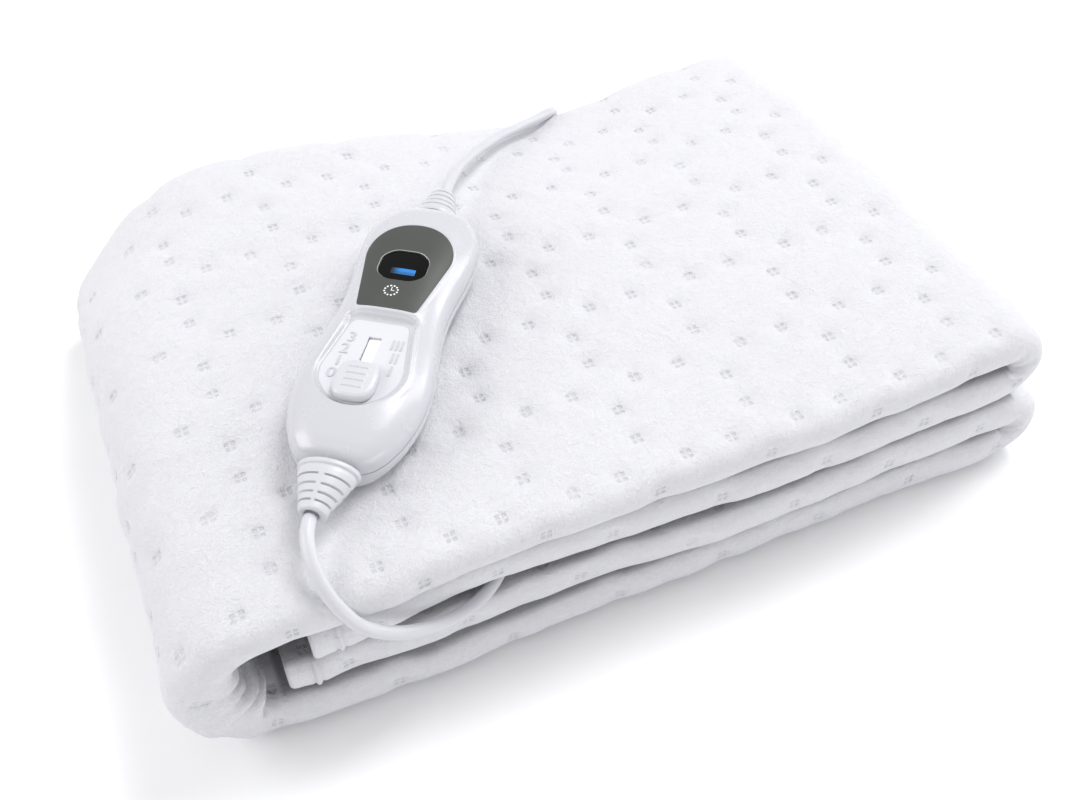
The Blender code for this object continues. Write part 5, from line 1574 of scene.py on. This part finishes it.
    def clock(self):
        """A ring of twelve dots with two hands, printed on the panel."""
        turns = np.radians(np.arange(12) * 30 + 15)
        dots = CLOCK["centre"] + CLOCK["radius"] * np.stack([np.cos(turns), np.sin(turns)], 1)
        ink, tree, shader = finish("white screen-print ink", srgb("E9E9EC"), 0.5)
        place_on = node(tree, "ShaderNodeTexCoord")
        mottle = node(tree, "ShaderNodeTexNoise", Vector=place_on.outputs["Object"],
                      Scale=5000.0)
        rough = node(tree, "ShaderNodeMapRange", Value=mottle.outputs["Fac"], To_Min=0.4,
                     To_Max=0.6)
        tree.links.new(rough.outputs[0], shader.inputs["Roughness"])
        centre = np.array(CLOCK["centre"])
        hands = [bar_outline(centre, centre + CLOCK[hand], CLOCK["hand"])
                 for hand in ("long", "short")]
        for name, outlines in (("clock_dots", disc_outlines(dots, CLOCK["dot"])),
                               ("clock_hands", hands)):
            made = prisms(name, outlines, lambda x, y: deck(x, y) + CLOCK["top"],
                          lambda x, y: deck(x, y) + CLOCK["under"])
            settle_piece(place(made, CONTROLLER_PLACE), ink)


class UNDERBLANKET_OT_slider(bpy.types.Operator):
    """Set the slider's grip, its pale strip and the embossed figures beside it"""
    bl_idname = "underblanket.slider"
    bl_label = "Slider"

    def execute(self, context):
        look = context.scene.underblanket_controller
        white = moulded_abs("moulded white ABS grip", [1.08 * c for c in look.abs_white], 0.3)
        grip = place(knob_surface(), CONTROLLER_PLACE)
        settle_piece(grip, white, body="slider", stands_for=("slider_knob",))
        satin = moulded_abs("satin-textured white ABS", [1.17 * c for c in look.abs_white], 0.5)
        settle_piece(place(self.insert(), CONTROLLER_PLACE), satin)
        marks = figures("scale_figures", look.figure_size, FIELD_FLOOR, 0.00045)
        settle_piece(place(marks, CONTROLLER_PLACE),
                     moulded_abs("embossed white ABS", look.abs_white, 0.26))
        # Acetal strip: dense, waxy and whiter than the housing round it.
        strip, tree, shader = finish("white acetal", srgb("FAFAFC"), 0.38)
        place_on = node(tree, "ShaderNodeTexCoord")
        draw = node(tree, "ShaderNodeTexNoise", Vector=place_on.outputs["Object"], Scale=800.0)
        rough = node(tree, "ShaderNodeMapRange", Value=draw.outputs["Fac"], To_Min=0.3,
                     To_Max=0.5)
        tree.links.new(rough.outputs[0], shader.inputs["Roughness"])
        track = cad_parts["slider_track"]
        for slot in track.material_slots:
            slot.material = strip
        return {"FINISHED"}

    def insert(self):
        """The satin plate on the field's floor, with the slot cut through it."""
        centre = np.array((SLOT_CENTRE, 0.0))
        turn = np.linspace(-math.pi, math.pi, 600, endpoint=False)
        hole = polar(soften(rectangle(centre, SLOT_HALF), 0.0004, 3), centre, turn)
        rim = polar(teardrop((FIELD_END[0], FIELD_END[1] - 0.0005),
                             (FIELD_TOP[0] - 0.0005, FIELD_TOP[1] - 0.0005), 0.0032),
                    centre, turn)
        way = (rim - hole) / np.linalg.norm(rim - hole, axis=1, keepdims=True)
        top, low, edge = FIELD_FLOOR + 0.00015, FIELD_FLOOR - 0.0006, 0.00012
        loops = [hole, hole + way * edge, rim - way * edge, rim, rim, hole]
        heights = [np.full(len(turn), z) for z in (top - edge, top, top, top - edge, low, low)]
        return ring_plate("field_insert", loops, heights)


class UNDERBLANKET_PT_panel(bpy.types.Panel):
    """Lists the steps that build the folded underblanket"""
    bl_label = "Folded underblanket"
    bl_idname = "UNDERBLANKET_PT_panel"
    bl_space_type = "VIEW_3D"
    bl_region_type = "UI"
    bl_category = "Underblanket"

    def draw(self, context):
        for step in STEPS:
            self.layout.operator(step.bl_idname)
        for group in SETTINGS:
            settings = getattr(context.scene, group)
            box = self.layout.box()
            for name in settings.bl_rna.properties.keys()[1:]:
                box.prop(settings, name)


SETTINGS = {
    "underblanket_stage": StageSettings,
    "underblanket_cloth": ClothSettings,
    "underblanket_leads": LeadSettings,
    "underblanket_controller": ControllerSettings,
}
STEPS = (UNDERBLANKET_OT_stage, UNDERBLANKET_OT_plug, UNDERBLANKET_OT_leads,
         UNDERBLANKET_OT_cloth, UNDERBLANKET_OT_housing, UNDERBLANKET_OT_display,
         UNDERBLANKET_OT_slider)


def register():
    for group in (*SETTINGS.values(), *STEPS, UNDERBLANKET_PT_panel):
        bpy.utils.register_class(group)
    for name, group in SETTINGS.items():
        setattr(bpy.types.Scene, name, PointerProperty(type=group))


def unregister():
    for name in SETTINGS:
        delattr(bpy.types.Scene, name)
    for group in (UNDERBLANKET_PT_panel, *reversed(STEPS), *SETTINGS.values()):
        bpy.utils.unregister_class(group)


def main():
    register()
    for step in STEPS:
        group, name = step.bl_idname.split(".")
        getattr(getattr(bpy.ops, group), name)()


if __name__ == "__main__":
    main()
